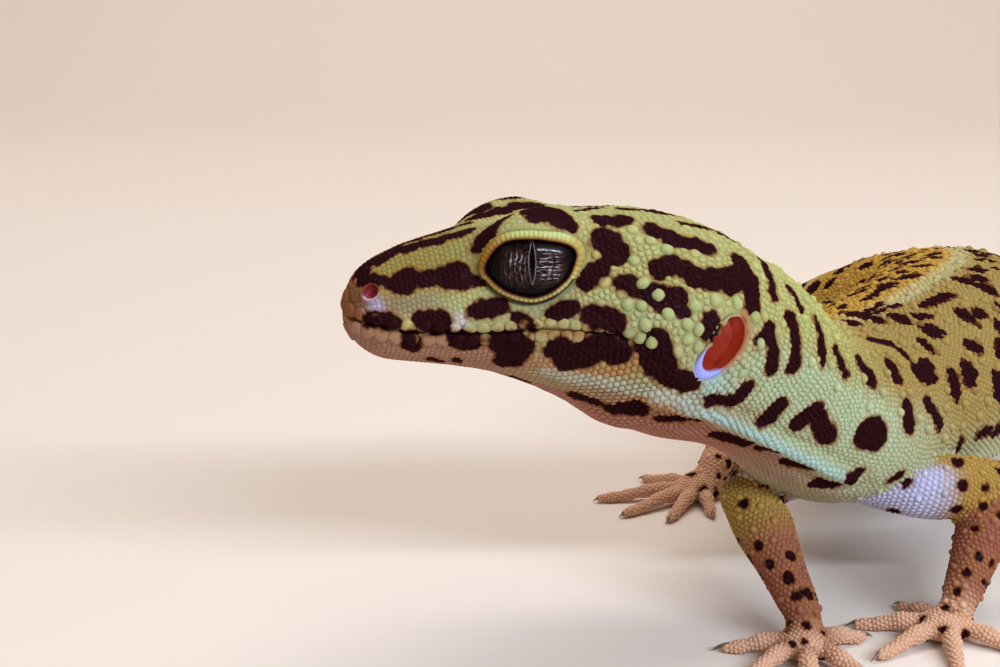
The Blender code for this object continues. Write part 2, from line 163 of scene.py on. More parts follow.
HEAD_PLACE = (-0.03, -0.07, 0.03)
panel("overhead_panel", (0.04, -0.10, 0.55), HEAD_PLACE, 0.55, 0.45, 0.8, (1.0, 0.98, 0.94))
panel("strip", (0.15, -0.33, 0.21), HEAD_PLACE, 0.31, 0.021, 1.65, (0.68, 0.82, 1.0), -16)
panel("backdrop_panel", (0.0, 0.05, 0.75), (0.0, 0.8, 0.25), 0.9, 0.3, 5.2, (1.0, 0.98, 0.96))
panel("left_fill", (-0.50, -0.25, 0.20), HEAD_PLACE, 0.35, 0.35, 0.12, (1.0, 0.95, 0.90))
room = bpy.data.worlds.new("room")
room.use_nodes = True
room_light = room.node_tree.nodes["Background"].inputs
room_light["Color"].default_value = (1.0, 0.96, 0.91, 1)
room_light["Strength"].default_value = 0.25
bpy.context.scene.world = room

# ---- Eyes ---------------------------------------------------------------------------------------
# Each eye is a dark folded iris with an upright slit pupil, set behind a clear cornea. It is seated in
# the head, which is built along a bent spine, and it looks a little forward of straight out.
SNOUT_TIP = (-45.0, -75.1, 27.7)
HEAD_ROLL = 3.0
HEAD_END = 29.0
NECK_END = 39.5
TAIL_END = 198.0
SPINE = (
    # name, distance along, heading, height above the floor
    ("snout", 0, 15, 27.7),
    ("skull back", 22, 15, 27.7),
    ("nape", 30, 24, 25.4),
    ("mid neck", 37, 40, 21.4),
    ("shoulders", 46, 51, 17.5),
    ("chest", 56, 54, 16.6),
    ("mid trunk", 76, 61, 16.6),
    ("loin", 90, 78, 16.4),
    ("hips", 106, 120, 14.6),
    ("vent", 114, 128, 12.4),
    ("tail waist", 122, 124, 9.4),
    ("tail bulb", 142, 98, 5.8),
    ("mid tail", 165, 78, 4.7),
    ("thin tail", 185, 70, 2.3),
    ("tail tip", 198, 66, 1.0),
)
EYE_SEAT = (13.45, 2.9, 4.4)
EYE_BALL = 4.3
EYE_LOOK = math.radians(17)
IRIS_REACH = (3.8, 2.95)
IRIS_SINK = 0.5
SLIT_MIDDLE = 0.42
SLIT_HALF_HEIGHT = 1.5
SLIT_HALF_WIDTH = 0.19


def through(stations, values, at):
    """A smooth curve through the values, which never overshoots them."""
    x = np.asarray(stations, float)
    y = np.asarray(values, float)
    width = np.diff(x)
    slope = np.diff(y) / width
    tangent = np.zeros_like(y)
    tangent[0], tangent[-1] = slope[0], slope[-1]
    both = slope[:-1] * slope[1:]
    turning = both > 0
    inner = np.zeros_like(both)
    inner[turning] = 2 * both[turning] / (slope[:-1] + slope[1:])[turning]
    tangent[1:-1] = inner
    at = np.clip(np.asarray(at, float), x[0], x[-1])
    i = np.clip(np.searchsorted(x, at, side="right") - 1, 0, len(width) - 1)
    t = (at - x[i]) / width[i]
    ends = y[i] * (1 + 2 * t) * (1 - t) ** 2 + y[i + 1] * t**2 * (3 - 2 * t)
    return ends + width[i] * (tangent[i] * t * (1 - t) ** 2 - tangent[i + 1] * t**2 * (1 - t))


def column(table, index, at):
    return through([row[1] for row in table], [row[index] for row in table], at)


def unit(vectors):
    return vectors / np.maximum(np.linalg.norm(vectors, axis=-1, keepdims=True), 1e-12)


def smoothstep(value, low, high):
    t = np.clip((np.asarray(value, float) - low) / (high - low), 0, 1)
    return t * t * (3 - 2 * t)


def hump(away, reach, power=2):
    """1 at no distance away, falling to almost nothing at twice the reach."""
    return np.exp(-((away / reach) ** power))


def walked(steps):
    """How far along a line each of its points is, from the lengths of its steps."""
    return np.concatenate([[0], np.cumsum(steps)])


def spine_frames(along):
    """Points of the spine, and the directions forward, left and up there."""
    step = 0.25
    s = np.arange(0, TAIL_END + 2 * step, step)
    height = column(SPINE, 3, s)
    heading = np.radians(column(SPINE, 2, s))
    level = np.sqrt(np.clip(1 - np.gradient(height, step) ** 2, 0, 1)) * step
    x = SNOUT_TIP[0] + walked(level * np.cos(heading))[:-1]
    y = SNOUT_TIP[1] + walked(level * np.sin(heading))[:-1]
    points = np.stack([x, y, height], axis=1)
    forward = unit(-np.gradient(points, axis=0))
    left = unit(np.cross([0, 0, 1], forward))
    up = np.cross(forward, left)
    roll = np.radians(HEAD_ROLL) * (1 - smoothstep(s, HEAD_END, NECK_END))[:, None]
    left, up = left * np.cos(roll) + up * np.sin(roll), up * np.cos(roll) - left * np.sin(roll)
    return [
        np.stack([np.interp(along, s, field[:, axis]) for axis in range(3)], axis=-1)
        for field in (points, forward, left, up)
    ]


def spine_at(along):
    """One point of the spine, and its directions forward, left and up."""
    return [field[0] for field in spine_frames(np.array([along]))]


def eye_axes(side):
    """The middle of an eyeball, and its directions ahead, up and out."""
    point, forward, left, up = spine_at(EYE_SEAT[0])
    out = side * left * math.cos(EYE_LOOK) + forward * math.sin(EYE_LOOK)
    ahead = forward * math.cos(EYE_LOOK) - side * left * math.sin(EYE_LOOK)
    return point + side * left * EYE_SEAT[1] + up * EYE_SEAT[2], ahead, up, out


def over_eye(side, ahead_by, up_by, lift):
    """Places over an eyeball, from how far ahead and up of its middle, lifted off its surface."""
    middle, ahead, up, out = eye_axes(side)
    depth = np.sqrt(np.clip(EYE_BALL**2 - ahead_by**2 - up_by**2, 0.01, None)) + lift
    return middle + ahead_by[..., None] * ahead + up_by[..., None] * up + depth[..., None] * out


def ripple(points, wavelength, seed):
    """A smooth wandering value between about -1 and 1 at each point, with lumps of one size."""
    draw = np.random.default_rng(seed)
    total = np.zeros(points.shape[:-1])
    for _ in range(7):
        way = draw.normal(size=3)
        way *= 2 * np.pi / (wavelength * draw.uniform(0.7, 1.5) * np.linalg.norm(way))
        total += np.sin(points @ way + draw.uniform(0, 6.283))
    return total / 3.5


def put_values(mesh, fields):
    """Values or colours on a mesh's points, by name."""
    for key, values in fields.items():
        if values.ndim == 1:
            field = mesh.attributes.new(key, "FLOAT", "POINT")
            field.data.foreach_set("value", values.astype(np.float32))
        else:
            field = mesh.attributes.new(key, "FLOAT_COLOR", "POINT")
            full = np.hstack([values, np.ones((len(values), 1))])
            field.data.foreach_set("color", full.astype(np.float32).ravel())


def mesh_from(name, points, faces, coords=None, **fields):
    """A mesh in metres from points in mm and arrays of faces, with values on its points."""
    mesh = bpy.data.meshes.new(name)
    points = np.ascontiguousarray(points, np.float32).reshape(-1, 3)
    mesh.vertices.add(len(points))
    mesh.vertices.foreach_set("co", (points * MM).ravel())
    corners = np.concatenate([np.asarray(f, np.int32).ravel() for f in faces])
    sizes = np.concatenate([np.full(len(f), np.shape(f)[1], np.int32) for f in faces])
    starts = np.concatenate([[0], np.cumsum(sizes)[:-1]]).astype(np.int32)
    mesh.loops.add(len(corners))
    mesh.loops.foreach_set("vertex_index", corners)
    mesh.polygons.add(len(sizes))
    mesh.polygons.foreach_set("loop_start", starts)
    mesh.update(calc_edges=True)
    mesh.shade_smooth()
    if coords is not None:
        layer = mesh.uv_layers.new(name="OFBake")
        layer.uv.foreach_set("vector", coords[corners].astype(np.float32).ravel())
    put_values(mesh, fields)
    return mesh


def grid_faces(rows, columns, closed=True):
    """Faces over a grid of points whose rows close on themselves, unless they are open."""
    steps = columns if closed else columns - 1
    row, col = np.meshgrid(np.arange(rows - 1), np.arange(steps), indexing="ij")
    after = (col + 1) % columns
    faces = np.stack([row * columns + col, row * columns + after,
                      (row + 1) * columns + after, (row + 1) * columns + col], axis=-1)
    return faces.reshape(-1, 4)


def finished(name, mesh, finish, slot, *stands_for):
    """Puts a piece in the model and hides the solids it stands for."""
    mesh.materials.append(finish)
    piece = linked(bpy.data.objects.new(name, mesh))
    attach(piece, "root")
    if stands_for:
        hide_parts(*stands_for)
    return piece


def math_node(tree, operation, first, second=0.0):
    return node(tree, "ShaderNodeMath", operation=operation, inputs={0: first, 1: second}).outputs[0]


def graded(tree, value, *stops):
    """A colour ramp from (place, colour) stops."""
    ramp = node(tree, "ShaderNodeValToRGB", inputs={"Fac": value})
    elements = ramp.color_ramp.elements
    while len(elements) < len(stops):
        elements.new(0.5)
    for element, (place, colour) in zip(elements, stops):
        element.position = place
        element.color = (*colour, 1)
    return ramp.outputs["Color"]


def stretched(tree, value, low, high, to_low=0.0, to_high=1.0):
    """A value carried from one range to another, and held at its ends."""
    inputs = {"Value": value, "From Min": low, "From Max": high, "To Min": to_low, "To Max": to_high}
    return node(tree, "ShaderNodeMapRange", inputs=inputs).outputs["Result"]


def attribute(tree, name, output="Fac"):
    return node(tree, "ShaderNodeAttribute", attribute_name=name).outputs[output]


def noise(tree, place, scale, detail=2.0):
    """Cloudy values, with so many clouds to a unit of the place."""
    inputs = {"Vector": place, "Scale": scale, "Detail": detail}
    return node(tree, "ShaderNodeTexNoise", inputs=inputs).outputs


def crackle(tree, place, scale, breadth, strength):
    """A net of thin threads, as strong as given in the middle of each."""
    cells = node(tree, "ShaderNodeTexVoronoi", feature="DISTANCE_TO_EDGE",
                 inputs={"Vector": place, "Scale": scale})
    return stretched(tree, cells.outputs["Distance"], 0.0, breadth, strength, 0.0)


def bumped(tree, shader, height, strength, depth):
    """Fine relief on a surface, so deep in metres."""
    relief = node(tree, "ShaderNodeBump", inputs={"Strength": strength, "Distance": depth, "Height": height})
    tree.links.new(relief.outputs["Normal"], shader.inputs["Normal"])


iris_finish, tree, shader = new_finish("iris")
dish = attribute(tree, "dish", "Vector")
bent = node(tree, "ShaderNodeMix", data_type="VECTOR",
            inputs={"Factor": 0.30, 4: dish, 5: noise(tree, dish, 0.7)["Color"]}).outputs[1]
fine_threads = crackle(tree, bent, 1.7, 0.11, 0.50)
threads = math_node(tree, "MAXIMUM", crackle(tree, bent, 1.0, 0.09, 1.0), fine_threads)
wavy = node(tree, "ShaderNodeTexWave", bands_direction="Y",
            inputs={"Vector": dish, "Scale": 0.20, "Distortion": 5.0, "Detail": 2.0, "Detail Scale": 3.2})
torn = stretched(tree, noise(tree, dish, 0.8)["Fac"], 0.30, 0.54)
ridges = math_node(tree, "MULTIPLY", stretched(tree, wavy.outputs["Fac"], 0.74, 1.0), torn)
silver = math_node(tree, "MAXIMUM", math_node(tree, "MULTIPLY", threads, 0.7), ridges)
silver = math_node(tree, "MULTIPLY", silver, attribute(tree, "silver"))
flesh = graded(tree, silver, (0.0, tone(0.02, 0.004, 0.007)), (0.45, tone(0.30, 0.18, 0.16)),
               (1.0, tone(0.84, 0.80, 0.83)))
slit = attribute(tree, "slit")
rim = graded(tree, stretched(tree, slit, 0.0, 0.12),
             (0.0, tone(0.66, 0.60, 0.60)), (1.0, tone(0.30, 0.20, 0.19)))
colour = blend_colour(tree, stretched(tree, slit, 0.02, 0.09, 0.9, 0.0), flesh, rim)
colour = blend_colour(tree, stretched(tree, slit, 0.0, 0.02, 1.0, 0.0), colour, (0.002, 0.001, 0.001))
tree.links.new(colour, shader.inputs["Base Color"])
tree.links.new(stretched(tree, silver, 0.0, 1.0, 0.55, 0.3), shader.inputs["Roughness"])
bumped(tree, shader, silver, 0.5, 0.0001)
shader.inputs["Specular IOR Level"].default_value = 0.04

cornea_finish, tree, shader = new_finish("cornea")
tree.nodes.remove(shader)
clear = node(tree, "ShaderNodeBsdfTransparent")
gloss = node(tree, "ShaderNodeBsdfGlossy", inputs={"Roughness": 0.08})
facing = node(tree, "ShaderNodeFresnel", inputs={"IOR": 1.21})
film = node(tree, "ShaderNodeMixShader",
            inputs={0: facing.outputs[0], 1: clear.outputs[0], 2: gloss.outputs[0]})
tree.links.new(film.outputs[0], tree.nodes["Material Output"].inputs["Surface"])

IRIS_RINGS, IRIS_SPOKES = 110, 256
ring = (np.linspace(0, 1, IRIS_RINGS) ** 1.1)[:, None]
spoke = np.linspace(0, 2 * np.pi, IRIS_SPOKES, endpoint=False)[None, :]
ahead_by = ring * np.cos(spoke) * IRIS_REACH[0]
up_by = ring * np.sin(spoke) * IRIS_REACH[1]
height_on_slit = (up_by - SLIT_MIDDLE) / SLIT_HALF_HEIGHT
scallop = 0.05 * np.abs(np.sin(np.pi * up_by / 0.34))
half_width = (SLIT_HALF_WIDTH + scallop) * np.clip(1 - np.abs(height_on_slit) ** 1.8, 0, 1)
beyond_slit = np.hypot(ahead_by, np.abs(up_by - SLIT_MIDDLE) - SLIT_HALF_HEIGHT)
off_slit = np.where(np.abs(height_on_slit) < 1, np.abs(ahead_by) - half_width, beyond_slit)
dish_place = np.stack([ahead_by, up_by, np.zeros_like(up_by)], axis=-1)
folds = 0.05 * ripple(dish_place * (2.2, 0.8, 1.0), 0.9, 5) + 0.06 * hump(off_slit, 0.12)
sunk = -IRIS_SINK * (1 - ring**6) + folds * (1 - ring**2) - 0.25 * smoothstep(-off_slit, 0.0, 0.12)
silver_place = np.exp(-(((np.abs(ahead_by) - 1.15) / 1.0) ** 4) - ((np.abs(up_by - 0.15) / 1.3) ** 4))
silver_place = silver_place * np.where(ahead_by < 0, 1.0, 0.80)
dark_arc = hump(-ahead_by - 1.45 - 0.1 * np.sin(3 * up_by), 0.07)
silver_place = silver_place * (1 - 0.8 * dark_arc)
arched_place = np.stack([up_by * 2.6, np.hypot(ahead_by, 0.45 * up_by) * 4.6, 0 * up_by], axis=-1)
vein_place = np.where((ahead_by < 0)[..., None], dish_place * (2.1, 5.2, 1.0), arched_place)
SIDES = ((1, "left"), (-1, "right"))
for side, label in SIDES:
    front = over_eye(side, ahead_by, up_by, sunk)
    middle, _, _, out = eye_axes(side)
    inside = front - out * (((front - middle) @ out) * 0.75)[..., None]
    shell = np.concatenate([front[::-1].reshape(-1, 3), inside.reshape(-1, 3)])
    faces = grid_faces(2 * IRIS_RINGS, IRIS_SPOKES)
    cap = np.zeros(IRIS_RINGS * IRIS_SPOKES)
    mesh = mesh_from(
        f"eyeball_{label}", shell, [faces[:, ::-side]],
        dish=np.concatenate([vein_place[::-1].reshape(-1, 3), vein_place.reshape(-1, 3)]),
        slit=np.concatenate([off_slit[::-1].ravel(), cap + 1]),
        silver=np.concatenate([silver_place[::-1].ravel(), cap]),
    )
    finished(f"eyeball_{label}", mesh, iris_finish, "eye", f"eye_{label}")
    lens = over_eye(side, ahead_by[::3, ::3], up_by[::3, ::3], 0.0)
    faces = grid_faces(lens.shape[0], lens.shape[1])
    mesh = mesh_from(f"cornea_{label}", lens, [faces[:, ::side]])
    finished(f"cornea_{label}", mesh, cornea_finish, "eye")

# ---- Eyelids ------------------------------------------------------------------------------------
# A thick ring of skin grips each eyeball: nearly straight above, round below, with a low front corner.
# It is yellow, finely ribbed across, and its inner edge is dark; a painted shadow line runs along the outer
# rim of the lower lid.
LID_CURVE = (
    # name, how far ahead and up of the middle of the eye
    ("front corner", 3.27, -0.06),
    ("front rise", 2.62, 1.16),
    ("upper front", 1.60, 1.86),
    ("top", -0.30, 1.99),
    ("upper back", -2.32, 1.56),
    ("back corner", -3.00, 0.82),
    ("lower back", -2.42, -0.58),
    ("lower middle", -1.25, -1.53),
    ("bottom", 0.20, -1.92),
    ("lower front", 1.95, -1.42),
    ("front foot", 2.88, -0.72),
)
LID_PROFILE = (
    # share of the width across the lid, height over the eyeball
    (-0.07, -0.18), (0.0, 0.04), (0.12, 0.24), (0.35, 0.37), (0.60, 0.40), (0.85, 0.30), (1.0, 0.10),
    (1.06, -0.10), (1.24, -0.40),
)
LID_STEPS = 480
RIB_PITCH = 0.31
PIGMENT_DARK = tone(0.125, 0.033, 0.043)
PIGMENT_RUST = tone(0.36, 0.17, 0.09)
PIGMENT_AMBER = tone(0.62, 0.42, 0.20)
LID_YELLOW = tone(0.70, 0.74, 0.48)
LID_GOLD = tone(0.68, 0.49, 0.15)


def line_walked(points):
    """How far along a line each of its points is."""
    return walked(np.linalg.norm(np.diff(points, axis=0), axis=1))


def closed_curve(corners, count):
    """A smooth closed curve through the corners, with evenly spaced points."""
    corners = np.asarray(corners, float)
    before, after = np.roll(corners, 1, axis=0), np.roll(corners, -1, axis=0)
    beyond = np.roll(corners, -2, axis=0)
    t = np.linspace(0, 1, 40, endpoint=False)[None, :, None]
    a, b, c, d = (p[:, None] for p in (before, corners, after, beyond))
    bow, twist = 2 * a - 5 * b + 4 * c - d, 3 * b - a - 3 * c + d
    path = 0.5 * (2 * b + (c - a) * t + bow * t**2 + twist * t**3)
    path = path.reshape(-1, 2)
    path = np.concatenate([path, path[:1]])
    gone = line_walked(path)
    at = np.linspace(0, gone[-1], count, endpoint=False)
    return np.stack([np.interp(at, gone, path[:, i]) for i in (0, 1)], axis=1), at


lid_edge, lid_arc = closed_curve([row[1:] for row in LID_CURVE], LID_STEPS)
lid_way = unit(np.roll(lid_edge, -3, axis=0) - np.roll(lid_edge, 3, axis=0))
lid_out = np.stack([-lid_way[:, 1], lid_way[:, 0]], axis=1)
if np.sum(lid_out * lid_edge) < 0:
    lid_out = -lid_out
lid_ahead, lid_high = lid_edge.T
lid_width = 0.56 + 0.08 * smoothstep(lid_high, 0.0, 1.8)
lid_width = lid_width + 0.12 * smoothstep(-lid_ahead, 0.3, 2.5) * smoothstep(lid_high, -0.5, 1.0)
lid_width = lid_width + 0.08 * smoothstep(lid_ahead, 2.4, 3.2) * smoothstep(lid_high, 0.0, 0.8)
lid_rim = lid_edge + lid_out * lid_width[:, None]

pigment = bpy.data.node_groups.new("pigment", "ShaderNodeTree")
for direction, kind, names in (
    ("INPUT", "NodeSocketColor", ["Ground"]),
    ("INPUT", "NodeSocketFloat", ["Edge", "Shade", "Groove Shade"]),
    ("OUTPUT", "NodeSocketColor", ["Colour"]),
    ("OUTPUT", "NodeSocketFloat", ["Roughness", "Height"]),
):
    for name in names:
        pigment.interface.new_socket(name, in_out=direction, socket_type=kind)
given = node(pigment, "NodeGroupInput").outputs
place = node(pigment, "ShaderNodeTexCoord").outputs["Object"]
mottle = noise(pigment, place, 900.0, 3.0)["Fac"]
grain = noise(pigment, place, 5200.0)["Fac"]
waver = node(pigment, "ShaderNodeMath", operation="MULTIPLY_ADD",
             inputs={0: math_node(pigment, "SUBTRACT", mottle, 0.5), 1: 0.16, 2: given["Edge"]}).outputs[0]
light = math_node(pigment, "MULTIPLY", stretched(pigment, grain, 0.3, 0.7, 0.92, 1.06), given["Shade"])
# Painted shade: the Groove Shade value darkens the colour in the hollows at the foot of each scale and
# between the lid's ribs, down to 0.74.
light = math_node(pigment, "MULTIPLY", light, stretched(pigment, given["Groove Shade"], 0.0, 1.0, 1.0, 0.74))
paint = blend_colour(pigment, 1.0, given["Ground"], light, "MULTIPLY")
dark = stretched(pigment, waver, -0.05, 0.07, 1.0, 0.0)
umber = blend_colour(pigment, stretched(pigment, grain, 0.35, 0.7), PIGMENT_DARK, PIGMENT_DARK * 1.6)
for share, pigment_laid in (
    (stretched(pigment, mottle, 0.56, 0.75, 0.0, 0.22), PIGMENT_AMBER),
    (stretched(pigment, waver, 0.05, 0.55, 0.42, 0.0), PIGMENT_AMBER),
    (stretched(pigment, waver, 0.0, 0.22, 0.92, 0.0), PIGMENT_RUST),
    (dark, umber),
):
    paint = blend_colour(pigment, share, paint, pigment_laid)
left_out = node(pigment, "NodeGroupOutput")
pigment.links.new(paint, left_out.inputs["Colour"])
pigment.links.new(stretched(pigment, dark, 0.0, 1.0, 0.50, 0.40), left_out.inputs["Roughness"])
pigment.links.new(grain, left_out.inputs["Height"])


def skin_finish(name, bump, coat):
    """The skin's pigments and painted shade over one kind of surface, with its own fine bump and waxy gloss.
    """
    made, tree, shader = new_finish(name)
    fields = {
        "Ground": attribute(tree, "ground", "Color"),
        "Edge": attribute(tree, "edge"),
        "Shade": attribute(tree, "shade"),
        "Groove Shade": attribute(tree, "groove"),
    }
    mixed = node(tree, "ShaderNodeGroup", node_tree=pigment, inputs=fields).outputs
    tree.links.new(mixed["Colour"], shader.inputs["Base Color"])
    tree.links.new(mixed["Roughness"], shader.inputs["Roughness"])
    bumped(tree, shader, mixed["Height"], bump, 0.00005)
    shader.inputs["Coat Weight"].default_value = coat
    shader.inputs["Coat Roughness"].default_value = 0.25
    shader.inputs["Specular IOR Level"].default_value = 0.0
    shader.inputs["Subsurface Weight"].default_value = 0.12
    shader.inputs["Subsurface Radius"].default_value = (0.0012, 0.0005, 0.0003)
    shader.inputs["Subsurface Scale"].default_value = 1.0
    return made


lid_finish = skin_finish("eyelid_skin", 0.35, 0.15)
across = np.array([-0.07, 0.0, 0.07, 0.16, 0.28, 0.42, 0.56, 0.70, 0.82, 0.92, 1.0, 1.06, 1.14, 1.24])
lift = through(*np.transpose(LID_PROFILE), across)
rib_count = round((lid_arc[-1] + lid_arc[1]) / RIB_PITCH)
rib = np.abs(np.cos(np.pi * rib_count * np.arange(LID_STEPS) / LID_STEPS)) ** 6
ribbed = 0.10 * smoothstep(across, 0.1, 0.45)[None, :] * rib[:, None]
lid_place = lid_edge[:, None] + lid_out[:, None] * (across[None, :] * lid_width[:, None])[..., None]
golden = smoothstep(lid_place[..., 0], 0.8, 3.2)
low_lid = smoothstep(-lid_place[..., 1], -0.5, 1.0)
golden = np.maximum(golden, (0.75 - 0.15 * low_lid) * (1 - smoothstep(across, 0.30, 0.62))[None, :])
golden = golden * (1 - 0.45 * low_lid * smoothstep(across, 0.2, 0.5)[None, :])
golden = np.maximum(golden, 0.6 * smoothstep(-lid_place[..., 0], 2.3, 3.3)).reshape(-1, 1)
low_lid = low_lid.reshape(-1, 1)
lid_ground = LID_YELLOW * (1 - golden) + LID_GOLD * golden
# Painted light: the lower lid faces down into shade, so its colour is lightened by up to 55%.
lid_ground = lid_ground * (1 + 0.55 * low_lid)
below_lid = smoothstep(-lid_high, -0.2, 0.6)[:, None]
inner_line = across * lid_width[:, None] - 0.10
# Painted shadow: a dark line along the outer rim of the lower lid, where it tucks into the skin.
painted_crease_shadow = (0.88 - across) * lid_width[:, None] + 2 * (1 - below_lid)
lid_dark_and_crease_shadow = np.minimum(inner_line, painted_crease_shadow).ravel()
for side, label in SIDES:
    ring = over_eye(side, lid_place[..., 0], lid_place[..., 1], lift[None, :] - ribbed)
    faces = grid_faces(LID_STEPS + 1, len(across), closed=False) % (LID_STEPS * len(across))
    mesh = mesh_from(
        f"eyelid_{label}", ring, [faces[:, ::-side]],
        ground=lid_ground, edge=lid_dark_and_crease_shadow, shade=np.ones(lid_dark_and_crease_shadow.size),
        # Painted shade in the hollows between the lid's ribs.
        groove=np.broadcast_to(rib[:, None] * 0.5, ribbed.shape).ravel(),
    )
    finished(f"eyelid_{label}", mesh, lid_finish, "spotted_skin")

# ---- Skin ---------------------------------------------------------------------------------------
# One unbroken skin covers the head, body, legs and toes. It is drawn over sections along the spine and
# over the leg bones, then given its mouth, nostrils, ears, folds and wrinkles, and fused at the joints.
SECTIONS = (
    # name, along, half width, height of the widest line, top, bottom, squareness above and below, and how
    # far the roof and the keel draw in
    ("snout", 0, 3.5, 0.7, 4.7, 1.9, 2.6, 2.3, 0.30, 0.15),
    ("nostrils", 3, 4.1, 0.6, 5.1, 2.6, 2.9, 2.3, 0.36, 0.16),
    ("muzzle", 6.5, 5.2, 0.6, 5.95, 3.1, 3.1, 2.4, 0.40, 0.16),
    ("eye front", 9.5, 6.4, 0.6, 6.55, 3.6, 3.1, 2.5, 0.43, 0.14),
    ("eye", 13, 7.9, 0.6, 7.0, 4.8, 2.9, 2.6, 0.42, 0.12),
    ("eye back", 16.5, 9.1, 0.7, 7.55, 6.4, 2.6, 2.5, 0.34, 0.12),
    ("cheek", 21, 10.2, 0.6, 7.8, 8.3, 2.4, 2.4, 0.22, 0.14),
    ("ears", 25.5, 9.9, 0.0, 7.3, 9.5, 2.3, 2.2, 0.14, 0.16),
    ("nape", 30, 8.5, -0.4, 6.5, 9.0, 2.2, 2.1, 0.10, 0.14),
    ("mid neck", 37, 7.5, -0.4, 6.0, 7.6, 2.1, 2.1, 0.06, 0.10),
    ("shoulders", 46, 8.8, -0.6, 6.6, 8.6, 2.1, 2.3, 0.06, 0.06),
    ("chest", 56, 10.4, -1.2, 7.2, 8.5, 2.2, 2.6, 0.06, 0.04),
    ("mid trunk", 76, 12.3, -1.8, 7.6, 8.2, 2.2, 2.9, 0.06, 0.02),
    ("loin", 92, 11.3, -1.6, 7.3, 7.5, 2.2, 2.7, 0.06, 0.02),
    ("hips", 106, 8.8, -0.8, 6.3, 6.2, 2.1, 2.3, 0.05, 0.02),
    ("vent", 114, 6.9, -0.3, 5.4, 5.2, 2.0, 2.2, 0.03, 0.0),
    ("tail waist", 121, 5.7, 0.0, 5.0, 4.8, 2.0, 2.1, 0.0, 0.0),
    ("tail bulb", 140, 7.8, 0.0, 6.2, 6.1, 2.0, 2.2, 0.0, 0.0),
    ("mid tail", 162, 6.2, 0.0, 5.2, 5.1, 2.0, 2.2, 0.0, 0.0),
    ("thin tail", 185, 2.8, 0.0, 2.6, 2.6, 2.0, 2.0, 0.0, 0.0),
    ("tail tip", 198, 0.9, 0.0, 0.9, 1.0, 2.0, 2.0, 0.0, 0.0),
)
NOSE_ROUNDING = 3.4
NOSE_LEVEL = 0.9
NOSE_BLUNTNESS = 2.4
# Swellings: name, along, across, up, their reach along, across and up, and how far out and up they push.
SWELLINGS = (
    ("brow", 13.3, 4.2, 5.9, 4.2, 2.3, 2.1, 0.70, 2.35),
    ("lore", 7.2, 4.6, 3.4, 2.4, 2.0, 1.3, -0.35, 0.0),
    ("jaw muscle", 21.5, 9.6, -2.2, 3.2, 3.0, 2.6, 0.45, 0.0),
    ("temple", 19.5, 7.4, 4.4, 2.4, 2.6, 1.8, -0.35, 0.0),
    ("shoulder", 45.5, 8.0, -3.4, 4.4, 4.0, 4.0, 0.8, 0.0),
    ("hip", 105.5, 7.6, -0.6, 5.0, 4.0, 4.0, 0.9, 0.0),
)
COAT_DEPTH = 0.16
FLOOR_CLEARANCE = 0.10
ROUND_STEPS = 256
TIP_ROUNDING = 1.0


def section(along, angle):
    """Distance left of the spine and above it, at an angle from the top towards the left."""
    width, level, top, bottom, above, below, roof, keel = (column(SECTIONS, i, along) for i in range(2, 10))
    nose = np.clip(1 - along / NOSE_ROUNDING, 0, 1)
    tip = np.clip((along - TAIL_END + TIP_ROUNDING) / TIP_ROUNDING, 0, 1)
    rounding = (1 - nose**NOSE_BLUNTNESS) ** (1 / NOSE_BLUNTNESS)
    rounding = rounding * np.sqrt(np.clip(1 - tip**2, 0, 1))
    width = width * rounding
    level = NOSE_LEVEL + (level - NOSE_LEVEL) * rounding
    top = NOSE_LEVEL + (top - NOSE_LEVEL) * rounding
    bottom = -NOSE_LEVEL + (bottom + NOSE_LEVEL) * rounding
    cosine, sine = np.cos(angle), np.sin(angle)
    power = np.where(cosine >= 0, 2 / above, 2 / below)
    rise = np.abs(cosine) ** power
    reach = np.where(cosine >= 0, top - level, bottom + level)
    narrowing = 1 - np.where(cosine >= 0, roof, keel) * rise
    across = width * np.sign(sine) * np.abs(sine) ** power * narrowing
    height = level + np.sign(cosine) * reach * rise
    for _, at, out_at, high, far, wide, tall, out, lift in SWELLINGS:
        gone = ((along - at) / far) ** 2 + ((np.abs(across) - out_at) / wide) ** 2
        near = np.exp(-gone - ((height - high) / tall) ** 2)
        across = across + np.sign(across) * out * near
        height = height + lift * near
    return across, height


def rings_round(along, count):
    """Rings of points round the body, evenly spaced from the top towards the left."""
    quarter = smoothstep(np.linspace(0, 1, 91)[:-1], 0, 1) * np.pi / 2
    angles = np.concatenate([quarter + k * np.pi / 2 for k in range(4)] + [[2 * np.pi]])
    flat_along, flat_angle = np.broadcast_arrays(along[:, None], angles[None, :])
    across, height = section(flat_along, flat_angle)
    point, _, left, up = spine_frames(flat_along)
    points = point + left * across[..., None] + up * height[..., None]
    lengths = np.linalg.norm(np.diff(points, axis=1), axis=2)
    gone = np.concatenate([np.zeros((len(along), 1)), np.cumsum(lengths, axis=1)], axis=1)
    even = np.empty((len(along), count, 3))
    share = np.linspace(0, 1, count + 1)[:-1]
    for i, row in enumerate(gone):
        for axis in range(3):
            even[i, :, axis] = np.interp(share, row / row[-1], points[i, :, axis])
    return even, gone[:, -1]


nose_lean = np.linspace(math.radians(1.5), math.pi / 2, 34)
nose_stations = NOSE_ROUNDING * (1 - np.cos(nose_lean) ** (2 / NOSE_BLUNTNESS))
ring_marks = ((0, NOSE_ROUNDING), (140, 31), (240, 58), (330, 116), (440, TAIL_END - TIP_ROUNDING))
stations = through(*np.transpose(ring_marks), np.arange(1, 441))
tip_stations = TAIL_END - TIP_ROUNDING + TIP_ROUNDING * np.sin(np.linspace(0, 1.5, 9))[1:]
stations = np.concatenate([nose_stations, stations, tip_stations])
form, girths = rings_round(stations, ROUND_STEPS)


